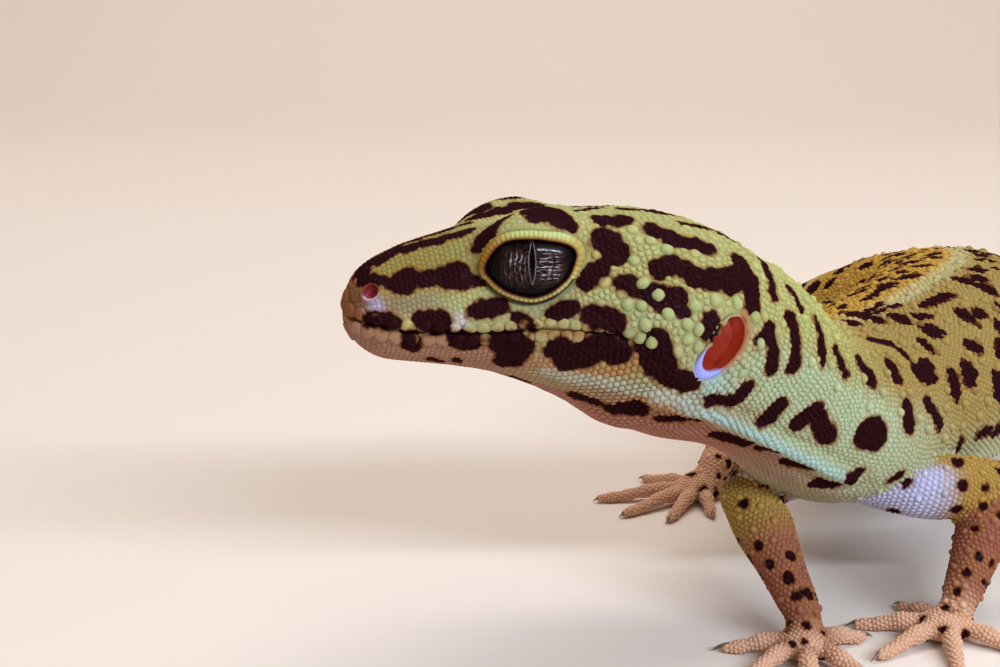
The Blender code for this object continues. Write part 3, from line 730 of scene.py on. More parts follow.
def on_form(along, turn, rings=form):
    """Places on rings round the body, from how far along and how many degrees round from the top."""
    row = np.interp(along, stations, np.arange(len(stations)))
    col = (np.asarray(turn, float) / 360 * ROUND_STEPS) % ROUND_STEPS
    i = np.clip(row.astype(int), 0, len(stations) - 2)
    j = col.astype(int) % ROUND_STEPS
    u, v = (row - i)[..., None], (col - np.floor(col))[..., None]
    after = (j + 1) % ROUND_STEPS
    near = rings[i, j] * (1 - v) + rings[i, after] * v
    far = rings[i + 1, j] * (1 - v) + rings[i + 1, after] * v
    return near * (1 - u) + far * u


def places(pairs, side=1):
    """Places on the bare form, from pairs of how far along and degrees round, or on its other side."""
    along, turn = np.array(pairs, float).T
    return on_form(along, side * turn)


def girth_at(along):
    return float(np.interp(along, stations, girths))


def chain_distance(points, line):
    """How far each point is from the line through a few places."""
    nearest = np.full(points.shape[:-1], np.inf)
    for a, b in zip(line[:-1], line[1:]) if len(line) > 1 else [(line[0], line[0])]:
        ab = b - a
        t = np.clip((points - a) @ ab / max(ab @ ab, 1e-9), 0, 1)
        nearest = np.minimum(nearest, np.linalg.norm(points - a - t[..., None] * ab, axis=-1))
    return nearest


# Lines and places on the left side: how far along, degrees round from the top.
MOUTH = (
    (0.1, 95), (1.0, 100), (2.6, 104), (5.0, 106), (7.0, 106),
    (9.7, 104), (12.5, 103), (15.5, 98), (18.0, 94),
)
LIP_FOLD = ((18.0, 94), (19.6, 97), (20.6, 104))
THROAT_FOLD = ((21.0, 127), (27.0, 128), (32.0, 137), (36.2, 140), (39.8, 137), (42.5, 133))
NOSTRIL = (1.58, 56)
NOSTRIL_RADIUS = 0.56
EAR = (25.3, 90.0)
EAR_HALF = (1.22, 2.2)
EAR_LEAN = math.radians(17)
EAR_DEPTH = 1.7
TAIL_RINGS_FROM = 121
TAIL_RING = 3.7
FAR_OFF = 9.0
SLACK_PASSES = 160
SEAM_PASSES = 24
SEAM_EASE = 0.6


def rim_reach(ahead, high):
    """How broad the ear's bare rim is: full below and ahead, narrow elsewhere."""
    return 0.20 + 0.08 * smoothstep(-ahead, 0.0, 0.8) + 0.62 * smoothstep(0.5 * ahead - high, 1.0, 2.3)


def ear_foot(ahead, high):
    """1 over the lower front of the ear, where its rim is broad and lilac."""
    return smoothstep(0.5 * ahead - high, 0.9, 1.6)


def ear_outline(spokes):
    """The edge of the ear's opening, ahead and up of its middle."""
    short, long = np.cos(spokes) * EAR_HALF[0], np.sin(spokes) * EAR_HALF[1]
    ahead = short * math.cos(EAR_LEAN) - long * math.sin(EAR_LEAN)
    return ahead, short * math.sin(EAR_LEAN) + long * math.cos(EAR_LEAN)


def ear_gap(side, points):
    """How far points are from the middle of an ear opening, and their places ahead and up of it.

    It is 1 on the opening's edge, and 1.46 where the bare rim ends: broad below, narrow elsewhere.
    """
    _, forward, left, up = spine_at(EAR[0])
    rel = points - places([EAR], side)[0]
    ahead, high = rel @ forward, rel @ up
    long = high * math.cos(EAR_LEAN) - ahead * math.sin(EAR_LEAN)
    short = ahead * math.cos(EAR_LEAN) + high * math.sin(EAR_LEAN)
    gap = np.hypot(short / EAR_HALF[0], long / EAR_HALF[1])
    gap = np.where(gap > 1, 1 + (gap - 1) / rim_reach(ahead, high), gap)
    other_side = (rel @ (side * left)) < -3.2
    return np.where(other_side | (np.abs(ahead) > 6) | (np.abs(high) > 6), FAR_OFF, gap), ahead, high


def lid_gap(side, points):
    """How far outside the eyelid's rim each point is, the nearest place on the rim, and its depth."""
    middle, ahead, up, out = eye_axes(side)
    rel = points - middle
    place = np.stack([rel @ ahead, rel @ up], axis=-1)
    depth = rel @ out
    gap = np.full(len(points), FAR_OFF)
    near = (depth > 0.8) & (np.abs(place[:, 0]) < 7) & (np.abs(place[:, 1]) < 6)
    spots = place[near][:, None]
    rim = lid_rim[::3]
    after = np.roll(rim, -1, axis=0)
    way = after - rim
    rel = spots - rim
    t = np.clip(np.sum(rel * way, -1) / np.sum(way * way, -1), 0, 1)
    gaps = np.linalg.norm(rel - t[..., None] * way, axis=-1)
    crosses = (rim[:, 1] > spots[..., 1]) != (after[:, 1] > spots[..., 1])
    rise = np.where(way[:, 1] == 0, 1e-9, way[:, 1])
    reach = rim[:, 0] + rel[..., 1] / rise * way[:, 0]
    inside = np.sum(crosses & (spots[..., 0] < reach), axis=1) % 2 == 1
    gap[near] = np.where(inside, -1, 1) * gaps.min(axis=1)
    nearest = np.zeros((len(points), 2))
    nearest[near] = rim[np.argmin(gaps, axis=1)]
    return gap, nearest, depth


def outward(rows):
    """The direction out of the surface at each point of a grid of rings."""
    along = np.gradient(rows, axis=0)
    around = np.roll(rows, -1, axis=1) - np.roll(rows, 1, axis=1)
    return unit(np.cross(along, around))


turns = np.arange(ROUND_STEPS) * 360 / ROUND_STEPS
turns = np.where(turns > 180, turns - 360, turns)
out_of_form = outward(form)
if np.sum(out_of_form[200] * (form[200] - form[200].mean(axis=0))) < 0:
    out_of_form = -out_of_form
along_grid, turn_grid = np.broadcast_arrays(stations[:, None], turns[None, :])
level_turn = np.abs(turn_grid)
raised_by = np.full(form.shape[:2], -COAT_DEPTH)
ear_well = np.zeros(form.shape[:2])
for side, _ in SIDES:
    here = (along_grid < 46) & (np.sign(turn_grid + 0.01) == side)
    points = form[here]
    # The mouth is a crack between soft lips, and a crease runs down from its corner.
    crack = chain_distance(points, places(MOUTH, side))
    change = -0.42 * hump(crack, 0.17) + 0.12 * hump(crack - 0.65, 0.4)
    change += -0.22 * hump(chain_distance(points, places(LIP_FOLD, side)), 0.3)
    # The nostril sinks in, with a small raised rim.
    nose_gap = chain_distance(points, places([NOSTRIL], side))
    change += -0.85 * smoothstep(-nose_gap, -NOSTRIL_RADIUS, -0.15)
    change += 0.12 * hump(nose_gap - 0.80, 0.22)
    # A fold of loose skin hangs along the throat.
    throat = chain_distance(points, places(THROAT_FOLD, side))
    change += 0.42 * hump(throat, 0.55) - 0.18 * hump(throat - 1.3, 0.5)
    # The ear is a well, with small pleats behind it.
    ear, ahead_by, up_by = ear_gap(side, points)
    rim_step, well_step = smoothstep(1.44 - ear, 0.0, 0.10), smoothstep(1.36 - ear, 0.0, 0.14)
    ear_well[here] = side * (0.3 * rim_step + EAR_DEPTH * well_step)
    pleats = np.sin(13 * np.arctan2(up_by, ahead_by)) * smoothstep(-ahead_by, 0.2, 0.9)
    change += 0.09 * pleats * hump(np.hypot(ahead_by, up_by) - 2.6, 0.7)
    raised_by[here] += change


def stretch_of(low, low_full, high_full, high):
    """1 along a stretch of the body, fading at both of its ends."""
    return smoothstep(along_grid, low, low_full) * (1 - smoothstep(along_grid, high_full, high))


# Wrinkles of the neck, the fold of the flank, the rings of the tail, and the swellings of the head.
neck_side = smoothstep(level_turn, 30, 55) * (1 - smoothstep(level_turn, 120, 140))
neck_rings = np.sin(2 * np.pi * along_grid / 1.3 + 1.6 * ripple(form, 9.0, 11))
raised_by += 0.09 * stretch_of(26.5, 29.5, 40, 46) * neck_side * neck_rings
flank_fold = hump(level_turn - 121 - 3 * np.sin(along_grid / 5), 4.5)
flank_waves = smoothstep(level_turn, 60, 100) * ripple(form, 4.5, 12)
raised_by += stretch_of(46, 56, 100, 112) * (0.35 * flank_fold + 0.10 * flank_waves)
tail_ring = np.abs(np.sin(np.pi * (along_grid - TAIL_RINGS_FROM) / TAIL_RING)) ** 0.5
raised_by += stretch_of(121, 128, 186, 196) * (0.26 * tail_ring - 0.16)
raised_by += 0.44 * stretch_of(1.5, 5, 10, 14) * hump(level_turn, 48)
raised_by += 0.30 * hump(along_grid - 13.4, 2.7) * hump(level_turn - 31, 8)
raised_by -= 0.12 * hump(along_grid - 12.5, 3.0) * hump(level_turn, 13)
raised_by += 0.20 * hump(along_grid - 19.0, 3.2, 4) * (1 - smoothstep(level_turn, 20, 45))
raised_by += 0.035 * ripple(form, 2.2, 13) * smoothstep(along_grid, 2, 12)
raised_by += 0.70 * hump(along_grid - 19.6, 2.6) * smoothstep(level_turn, 138, 160)
skin_form = form + out_of_form * raised_by[..., None]
# The throat's slack skin is smoothed along its length.
slack = 0.8 * (stretch_of(20, 24, 34, 40) * smoothstep(level_turn, 122, 150))[1:-1, :, None]
for _ in range(SLACK_PASSES):
    skin_form[1:-1] += slack * (0.5 * (skin_form[:-2] + skin_form[2:]) - skin_form[1:-1])
skin_form -= ear_well[..., None] * spine_at(EAR[0])[2]

LID_BLEND = 1.5
for side, _ in SIDES:
    flat = skin_form.reshape(-1, 3)
    near = (along_grid.ravel() < 21) & (np.sign(turn_grid.ravel() + 0.01) == side)
    gap, nearest, depth = lid_gap(side, flat[near])
    _, _, _, look = eye_axes(side)
    rim_depth = np.sqrt(np.clip(EYE_BALL**2 - np.sum(nearest**2, axis=1), 0.01, None)) + 0.10
    crease = 0.34 * hump(gap, 0.22) * smoothstep(-nearest[:, 1], -0.6, 0.8)
    settled = rim_depth + (depth - rim_depth) * smoothstep(gap, 0.0, LID_BLEND) - crease
    tucked = rim_depth - 0.55 - 0.5 * smoothstep(-gap, 0.3, 1.5)
    share = smoothstep(-gap, 0.0, 0.35)
    goal = settled * (1 - share) + np.minimum(tucked, depth) * share
    move = np.where(gap < LID_BLEND, goal - depth, 0) * smoothstep(depth, 0.9, 1.7)
    flat[near] += look * move[:, None]
    skin_form = flat.reshape(skin_form.shape)
skin_form[..., 2] = np.maximum(skin_form[..., 2], FLOOR_CLEARANCE)

# The legs are drawn over their bones, from the root inside the body to the wrist or ankle.
FRONT_LEG = {"radii": (3.4, 3.0, 2.5, 1.55), "palm": (2.5, 2.2, 1.6)}
HIND_LEG = {"radii": (5.0, 4.6, 3.1, 1.8), "palm": (3.0, 2.3, 1.8)}
LEGS = {
    # joints from the root to the wrist or ankle, the way the foot points, and each toe's spread and length
    "front_left": {
        **FRONT_LEG,
        "joints": ((-3.4, -60.4, 12.5), (2.0, -61.6, 11.2), (8.2, -60.4, 10.4), (3.6, -66.6, 2.7)),
        "names": ("upper_arm_left", "forearm_left", "hand_left"),
        "points": -146, "spread": (-101, -48, 0, 48, 112), "length": (3.8, 4.8, 5.4, 5.2, 4.2),
    },
    "front_right": {
        **FRONT_LEG,
        "joints": ((-6.0, -57.4, 12.5), (-10.0, -58.4, 11.4), (-12.9, -61.2, 10.2), (-9.5, -69.4, 2.7)),
        "names": ("upper_arm_right", "forearm_right", "hand_right"),
        "points": -97, "spread": (124, 44, 0, -42, -88), "length": (3.8, 5.0, 5.4, 5.2, 4.2),
    },
    "hind_left": {
        **HIND_LEG,
        "joints": ((15.0, -5.4, 12.8), (20.6, -7.2, 12.2), (30.4, -11.6, 10.4), (34.8, 0.6, 3.0)),
        "names": ("thigh_left", "shank_left", "foot_left"),
        "points": -60, "spread": (-60, -34, -6, 28, 84), "length": (4.0, 5.8, 7.2, 7.6, 5.0),
    },
    "hind_right": {
        **HIND_LEG,
        "joints": ((11.0, -8.4, 12.6), (5.6, -10.4, 12.0), (-3.6, -21.8, 10.8), (-11.6, -32.4, 3.0)),
        "names": ("thigh_right", "shank_right", "foot_right"),
        "points": -152, "spread": (66, 34, 8, -20, -72), "length": (4.0, 5.8, 7.2, 7.6, 5.0),
    },
}
TOE_PROFILE = (
    # name, share of the toe's length, height, radius
    ("in the palm", -0.35, 1.00, 0.70),
    ("knuckle", 0.05, 1.22, 0.76),
    ("first joint", 0.35, 1.15, 0.72),
    ("second joint", 0.65, 0.80, 0.58),
    ("pad", 0.90, 0.55, 0.54),
    ("tip", 1.06, 0.50, 0.42),
)
TOE_OVERLAP = 0.5
TOE_CREASES = 1.7
UPRIGHT = np.array([0, 0, 1.0])


def heading_way(degrees):
    """A direction over the floor."""
    return np.array([math.cos(math.radians(degrees)), math.sin(math.radians(degrees)), 0])


def palm_middle(plan):
    return np.array(plan["joints"][-1]) * (1, 1, 0) + heading_way(plan["points"]) * 0.55 * plan["palm"][0]


def toe_lines(plan):
    """Each toe's direction, its root inside the rim of the palm, and its length."""
    long, wide, _ = plan["palm"]
    for spread, length in zip(plan["spread"], plan["length"]):
        toward = heading_way(plan["points"] + spread)
        rim = 1 / math.hypot(math.cos(math.radians(spread)) / long, math.sin(math.radians(spread)) / wide)
        yield toward, palm_middle(plan) + toward * (rim - TOE_OVERLAP), length


def bone(leg, lower):
    """Distances, points and radii along the upper or the lower length of a leg."""
    used = slice(2, None) if lower else slice(0, 3)
    joints, radii = np.array(LEGS[leg]["joints"])[used], np.array(LEGS[leg]["radii"])[used]
    lengths = line_walked(joints)
    at = np.linspace(0, lengths[-1], 49)
    points = np.stack([through(lengths, joints[:, axis], at) for axis in range(3)], axis=1)
    size = through(lengths, radii, at)
    if lower:
        size = size + 0.3 * hump(at - 3.5, 2.6)
    return at, points, size - COAT_DEPTH


def tube(at, points, size, pitch, sides):
    """Rings round a line of points, with both ends rounded off, and how far along each ring is."""
    tangents = unit(np.gradient(points, axis=0))
    lean = np.radians([80, 62, 42, 20])
    inner = np.linspace(at[0], at[-1], max(4, int((at[-1] - at[0]) / pitch)))
    first, last = at[0] - size[0] * np.sin(lean), at[-1] + size[-1] * np.sin(lean[::-1])
    where = np.concatenate([first, inner, last])
    shrink = np.concatenate([np.cos(lean), np.ones(len(inner)), np.cos(lean[::-1])])
    beyond = (np.clip(where - at[-1], 0, None) + np.clip(where - at[0], None, 0))[:, None]
    centres = np.stack([np.interp(where, at, points[:, axis]) for axis in range(3)], axis=1)
    way = unit(np.stack([np.interp(where, at, tangents[:, axis]) for axis in range(3)], axis=1))
    side = unit(np.cross(way, [0, 0, 1]))
    over = np.cross(side, way)
    reach = (np.interp(where, at, size) * shrink)[:, None, None]
    angles = np.linspace(0, 2 * np.pi, sides, endpoint=False)[None, :, None]
    round_way = np.sin(angles) * side[:, None] + np.cos(angles) * over[:, None]
    rings = (centres + way * beyond)[:, None] + reach * round_way
    rings[..., 2] = np.maximum(rings[..., 2], FLOOR_CLEARANCE)
    return rings, where


def leg_forms(leg):
    """The rings of each length of a leg, how far along the leg they are, and a number for each length."""
    plan = LEGS[leg]
    forms = []
    gone = 0
    for number, pitch, sides in ((0, 0.45, 40), (1, 0.4, 36)):
        at, points, size = bone(leg, number == 1)
        rings, where = tube(at, points, size, pitch, sides)
        forms.append((rings, where + gone, number))
        gone += at[-1]
    long, wide, tall = plan["palm"]
    ahead = heading_way(plan["points"])
    aside = np.array([-ahead[1], ahead[0], 0])
    lean = np.linspace(0.1, np.pi - 0.1, 20)[:, None]
    angles = np.linspace(0, 2 * np.pi, 32, endpoint=False)
    back = (long - COAT_DEPTH) * np.cos(lean) * np.ones_like(angles)
    left = (wide - COAT_DEPTH) * np.sin(lean) * np.sin(angles)
    over = (tall - COAT_DEPTH) * np.sin(lean) * np.cos(angles)
    palm = palm_middle(plan) + 0.75 * tall * UPRIGHT - back[..., None] * ahead
    palm = palm - left[..., None] * aside + over[..., None] * UPRIGHT
    palm[..., 2] = np.maximum(palm[..., 2], FLOOR_CLEARANCE)
    forms.append((palm, gone + long * (1 - np.cos(lean[:, 0])), 2))
    share = np.linspace(TOE_PROFILE[0][1], TOE_PROFILE[-1][1], 40)
    high, thick = column(TOE_PROFILE, 2, share), column(TOE_PROFILE, 3, share)
    for number, (toward, start, length) in enumerate(toe_lines(plan), start=3):
        creased = thick * (1 + 0.07 * np.cos(2 * np.pi * share * length / TOE_CREASES)) - 0.5 * COAT_DEPTH
        line = start + (share * length)[:, None] * toward + np.outer(high, UPRIGHT)
        rings, where = tube(share * length, line, creased, 0.22, 20)
        forms.append((rings, where + gone + long, number))
    return forms


def closed_form(name, rings):
    """A closed object from rings of points, with its faces turned outward."""
    rows, columns = rings.shape[:2]
    first = np.arange(columns)[None, :]
    ends = [first[:, ::-1], (rows - 1) * columns + first]
    mesh = mesh_from(name, rings, [grid_faces(rows, columns), *ends])
    mesh.calc_loop_triangles()
    corners = rings.reshape(-1, 3)[np.array([face.vertices[:] for face in mesh.loop_triangles])]
    if np.sum(corners[:, 0] * np.cross(corners[:, 1], corners[:, 2])) < 0:
        mesh.flip_normals()
    return linked(bpy.data.objects.new(name, mesh))


def fuse(target, other):
    """Joins another closed mesh object to the target and takes it out of the scene."""
    joint = target.modifiers.new("fuse", "BOOLEAN")
    joint.operation = "UNION"
    joint.solver = "MANIFOLD"
    joint.object = other
    bpy.context.view_layer.update()
    graph = bpy.context.evaluated_depsgraph_get()
    joined = bpy.data.meshes.new_from_object(target.evaluated_get(graph))
    target.modifiers.clear()
    target.data = joined
    bpy.data.objects.remove(other)


skin = closed_form("skin", skin_form)
forms = [(skin_form, stations, -1, "body")]
for leg in LEGS:
    base = None
    for rings, where, number in leg_forms(leg):
        forms.append((rings, where, number, leg))
        limb = closed_form("limb", rings)
        if base is None:
            base = limb
        else:
            fuse(base, limb)
    fuse(skin, base)


def tree_of(points):
    made = KDTree(len(points))
    for i, point in enumerate(points):
        made.insert(point, i)
    made.balance()
    return made


# Each point of the fused skin keeps its place on the form that it came from.
source_points = np.concatenate([rings.reshape(-1, 3) for rings, *_ in forms])
source_along = np.concatenate([np.repeat(where, rings.shape[1]) for rings, where, *_ in forms])
source_turn = np.concatenate([
    np.tile(np.arange(rings.shape[1]) * 360 / rings.shape[1], len(rings)) for rings, *_ in forms])
source_form = np.repeat(np.arange(len(forms)), [rings[..., 0].size for rings, *_ in forms])
source_tree = tree_of(source_points)
skin_points = np.empty(len(skin.data.vertices) * 3, np.float32)
skin.data.vertices.foreach_get("co", skin_points)
skin_points = skin_points.reshape(-1, 3).astype(float) / MM
found = [source_tree.find(point)[1:] for point in skin_points]
nearest = np.array([index for index, _ in found])
new_made = np.array([gap for _, gap in found]) > 0.002
seam_tree = tree_of(skin_points[new_made])
seam_gap = np.array([seam_tree.find(point)[2] for point in skin_points])
on_toe = np.array([number >= 3 for _, _, number, _ in forms])[source_form[nearest]]
soften = 1 - smoothstep(seam_gap, 0.2, np.where(on_toe, 0.5, 1.7))

# The joins of the limbs with the body and with each other are eased, so that no edge shows there.
edges = np.empty(len(skin.data.edges) * 2, np.int32)
skin.data.edges.foreach_get("vertices", edges)
near_end, far_end = edges.reshape(-1, 2).T
points_in_all = len(skin_points)
degree = np.bincount(edges, minlength=points_in_all)[:, None]
for _ in range(SEAM_PASSES):
    total = np.stack([
        np.bincount(near_end, skin_points[far_end, axis], points_in_all)
        + np.bincount(far_end, skin_points[near_end, axis], points_in_all) for axis in range(3)], axis=1)
    skin_points += SEAM_EASE * soften[:, None] * (total / degree - skin_points)
skin_points[:, 2] = np.maximum(skin_points[:, 2], FLOOR_CLEARANCE)
skin_along, skin_turn, skin_part = source_along[nearest], source_turn[nearest], source_form[nearest]

# The pattern: dark blotches with a rusty fringe over ground colours that shift from region to region.
CROWN_BLOTCHES = (
    # name, half width, then places: distance along and degrees round from the top
    ("canthal stripe", 0.42, (1.5, -6), (2.5, 2), (3.4, 8), (4.5, 14.5), (6.0, 17), (7.7, 18), (9.0, 19)),
    ("canthal stripe front", 0.42, (1.2, 4), (2.3, 13), (3.2, 14)),
    ("snout top stripe", 0.26, (3.6, -3), (5.0, -1), (6.5, -2), (8.0, -6), (9.6, -12)),
    ("far brow stripe", 0.34, (10.2, -22), (11.3, -19), (12.4, -20), (13.7, -22), (15.6, -21)),
    ("far brow front", 0.20, (9.8, -31), (11.0, -31), (11.8, -30)),
    ("nose tip", 0.30, (0.9, 8), (1.5, 24)),
    ("crown bar", 0.50, (15.4, 4), (17.6, 6), (19.0, 1)),
    ("crown spot", 0.55, (18.6, -14), (20.4, -10)),
    ("crown back", 0.60, (21.0, 8), (23.4, 6)),
    ("nape spot", 0.55, (25.4, -7), (26.6, -12)),
    ("nape line", 0.20, (23.5, 24), (25.4, 17), (26.6, 22)),
    ("nape bar", 0.50, (29.0, 2), (29.6, 12)),
    ("neck top bar", 0.50, (33.0, -10), (33.6, 6)),
)
SIDE_BLOTCHES = (
    ("above the nostril", 0.34, (1.1, 33), (2.1, 43), (2.9, 52)),
    ("loreal front", 0.76, (3.8, 53), (4.3, 51)),
    ("loreal waist", 0.44, (5.2, 54), (5.9, 54)),
    ("loreal back", 0.86, (7.1, 55), (7.8, 57)),
    ("loreal tail", 0.26, (8.4, 61), (9.3, 67)),
    ("brow front", 0.50, (9.2, 40), (9.6, 36), (10.3, 33), (11.3, 30)),
    ("brow top", 0.52, (12.8, 35), (13.4, 35), (14.1, 36), (15.0, 37), (15.5, 41)),
    # Painted shade: a soft dark band in the hollow between the lid and the brow.
    ("brow groove", 0.40, (13.0, 39), (13.6, 40), (14.7, 42)),
    ("first lip bar", 0.52, (1.3, 94), (2.0, 94), (3.0, 95)),
    ("second lip bar", 0.70, (5.0, 94), (6.1, 95)),
    ("second lip foot", 0.50, (5.0, 100), (6.4, 101)),
    ("third lip bar", 0.58, (8.6, 86), (10.1, 86)),
    ("fourth lip bar", 0.44, (11.2, 95), (11.9, 101)),
    ("fifth lip bar", 0.64, (13.7, 92), (14.5, 88)),
    ("sixth lip bar", 0.78, (16.0, 88), (17.2, 88)),
    ("behind the brow", 0.60, (18.0, 30), (19.9, 26)),
    ("behind the eye", 0.96, (17.9, 43), (18.4, 49)),
    ("below the eye corner", 0.62, (17.2, 59), (16.0, 70)),
    ("first jaw bar", 0.64, (4.0, 111), (4.1, 121)),
    ("second jaw bar", 0.66, (7.0, 110), (8.2, 112)),
    ("third jaw bar", 0.92, (10.1, 111), (11.3, 112), (10.9, 125)),
    ("third jaw lobe", 0.52, (10.4, 132)),
    ("chin fleck", 0.23, (5.8, 145), (6.4, 148)),
    ("chin drop", 0.25, (7.6, 141)),
    ("chin streak", 0.27, (11.8, 155), (12.8, 156)),
    ("cheek patch", 1.05, (14.0, 112), (14.6, 116), (16.6, 102), (17.5, 102)),
    ("jaw streak", 0.50, (16.0, 146), (17.2, 144)),
    ("jaw patch", 0.62, (18.7, 144), (19.9, 135), (20.4, 140)),
    ("temple hook", 0.66, (21.8, 33), (22.4, 38)),
    ("temple hook tail", 0.56, (22.4, 40), (24.1, 42)),
    ("temple upper", 0.66, (21.1, 58), (22.3, 55), (23.0, 60)),
    ("temple lower", 0.62, (18.5, 66), (20.3, 70)),
    ("temple lower back", 0.66, (20.2, 71), (22.0, 72)),
    ("temple foot", 0.38, (20.6, 76), (22.3, 78)),
    ("temple band", 0.76, (23.0, 61), (24.8, 60)),
    ("temple band back", 0.88, (24.8, 60), (26.2, 52)),
    ("temple corner", 0.66, (26.0, 44), (26.5, 54), (26.6, 68)),
    ("ear front", 0.56, (24.0, 80), (24.0, 86)),
    ("jowl", 1.00, (20.0, 94), (20.2, 100), (20.9, 106)),
    ("jowl foot", 0.84, (21.6, 111), (23.7, 113)),
    ("first neck bar", 0.46, (28.3, 75), (29.6, 94)),
    ("first neck lobe", 0.55, (27.8, 83)),
    ("second neck bar", 0.43, (30.1, 64), (30.7, 76), (31.3, 90)),
    ("nape streak", 0.37, (28.7, 28), (28.4, 56)),
    ("nape dash", 0.31, (30.4, 44), (30.8, 54)),
    ("third neck bar", 0.36, (32.1, 55), (33.4, 78)),
    ("fourth neck bar", 0.37, (34.6, 66), (36.1, 76)),
    ("under the ear", 0.50, (26.8, 120), (28.6, 117), (28.7, 107)),
    ("first neck spot", 0.68, (33.1, 127), (32.8, 115)),
    ("second neck spot", 0.70, (35.2, 118), (35.3, 108)),
    ("second neck spot foot", 0.72, (36.1, 110), (37.8, 118)),
    ("third neck spot", 1.25, (40.6, 102), (41.0, 101)),
    ("upper neck spot", 0.54, (38.2, 63), (39.5, 70)),
    ("shoulder spot", 0.60, (43.2, 50), (43.1, 58)),
    ("shoulder line", 0.28, (44.0, 26), (47.2, 32), (47.3, 44)),
    ("shoulder drop", 0.62, (43.6, 77), (43.7, 87)),
    ("second shoulder drop", 0.56, (46.7, 74), (47.8, 86)),
    ("chest spot", 0.66, (52.0, 63), (51.2, 72)),
    ("back spot", 0.48, (51.7, 38), (51.5, 44)),
    ("back dash", 0.44, (56.6, 20), (57.8, 24)),
    ("long back dash", 0.50, (59.9, 16), (65.8, 18)),
    ("spine dash", 0.24, (53.6, 2), (58.7, 5)),
    ("arm pit spot", 0.48, (42.2, 131), (42.2, 127)),
    ("arm spot", 0.46, (44.8, 120), (44.9, 118)),
    ("flank fleck", 0.40, (55.0, 99), (56.6, 99)),
    ("throat streak", 0.46, (30.2, 148), (34.0, 151)),
    ("throat dash", 0.25, (35.2, 150), (36.1, 146)),
    ("chest streak", 0.40, (38.0, 150), (39.5, 143)),
    ("chest spot low", 0.50, (41.6, 150), (42.2, 143)),
    ("jaw line", 0.22, (22.6, 142), (26.9, 135)),
)
SCATTER_FROM = 48
SCATTER_CLEAR = 2.4
BLOTCH_SPREAD = 0.13
chance = np.random.default_rng(21)


def sided(entries, side):
    """Blotches of one side; the right side's differ a little in place and size."""
    for _, half, *where in entries:
        where = np.array(where, float)
        if side < 0:
            where = where + [chance.uniform(-0.5, 0.5), chance.uniform(-4, 4)]
            half = half * chance.uniform(0.85, 1.12)
        where[:, 1] *= side
        yield half + BLOTCH_SPREAD, on_form(where[:, 0], where[:, 1], skin_form), where[:, 0].mean()


spots = list(sided(CROWN_BLOTCHES, 1)) + list(sided(SIDE_BLOTCHES, 1)) + list(sided(SIDE_BLOTCHES, -1))
placed = [line.mean(axis=0) for _, line, _ in spots]
for row, along in enumerate(np.arange(SCATTER_FROM, 194, 3.3)):
    girth = girth_at(along)
    tail_band = along > 116 and ((along - 116) % 15) < 5.2
    count = int(girth * 0.62 / (2.2 if tail_band else 3.9))
    for i in range(count):
        turn = (i + 0.5 * (row % 2) - count / 2 + chance.uniform(-0.28, 0.28)) * 232 / count
        where = along + chance.uniform(-0.8, 0.8)
        long = chance.uniform(0.3, 1.5)
        half = chance.uniform(0.70, 1.12) * (1.25 if tail_band else 1.0) * min(1.0, girth / 30)
        half *= 1 - 0.45 * smoothstep(abs(turn), 85, 116)
        drawn = chance.uniform()
        if along > 186 or abs(turn) < 5 and along < 112 or drawn < 0.07:
            continue
        turns_to = np.array([turn, turn + chance.uniform(-5, 5)])
        line = on_form(np.array([where, where + long]), turns_to, skin_form)
        if all(np.linalg.norm(line.mean(axis=0) - middle) >= SCATTER_CLEAR for middle in placed):
            spots.append((half, line, where))

leg_spots = []
for rings, where, number, _ in forms[1:]:
    if number > 2:
        continue
    upper = number == 0
    for at in np.arange(1.0, where[-1] - where[0], 1.9 if upper else 1.7):
        row = int(np.interp(where[0] + at, where, np.arange(len(where))))
        for turn in np.arange(-130, 131, 52 if upper else 60):
            column_at = int((turn + chance.uniform(-24, 24)) / 360 * rings.shape[1]) % rings.shape[1]
            half = chance.uniform(0.34, 0.72) if upper else chance.uniform(0.22, 0.50)
            if chance.uniform() >= (0.35 if upper else 0.5):
                leg_spots.append((half, rings[row, column_at][None, :]))


def edge_at(points, part, along):
    """How far each point is outside the nearest dark blotch, in mm; below zero inside one."""
    edge = np.full(len(points), 3.0)
    body = part == 0
    wobble = 0.13 * ripple(points, 1.5, 31) + 0.07 * ripple(points, 0.6, 32)
    for half, line, at in spots:
        reach = 4 + 0.5 * np.linalg.norm(line[-1] - line[0])
        near = np.flatnonzero(body & (np.abs(along - at) < reach))
        edge[near] = np.minimum(edge[near], chain_distance(points[near], line) - half + wobble[near])
    legs = np.flatnonzero(~body)
    for half, line in leg_spots:
        edge[legs] = np.minimum(edge[legs], chain_distance(points[legs], line) - half + wobble[legs])
    return edge


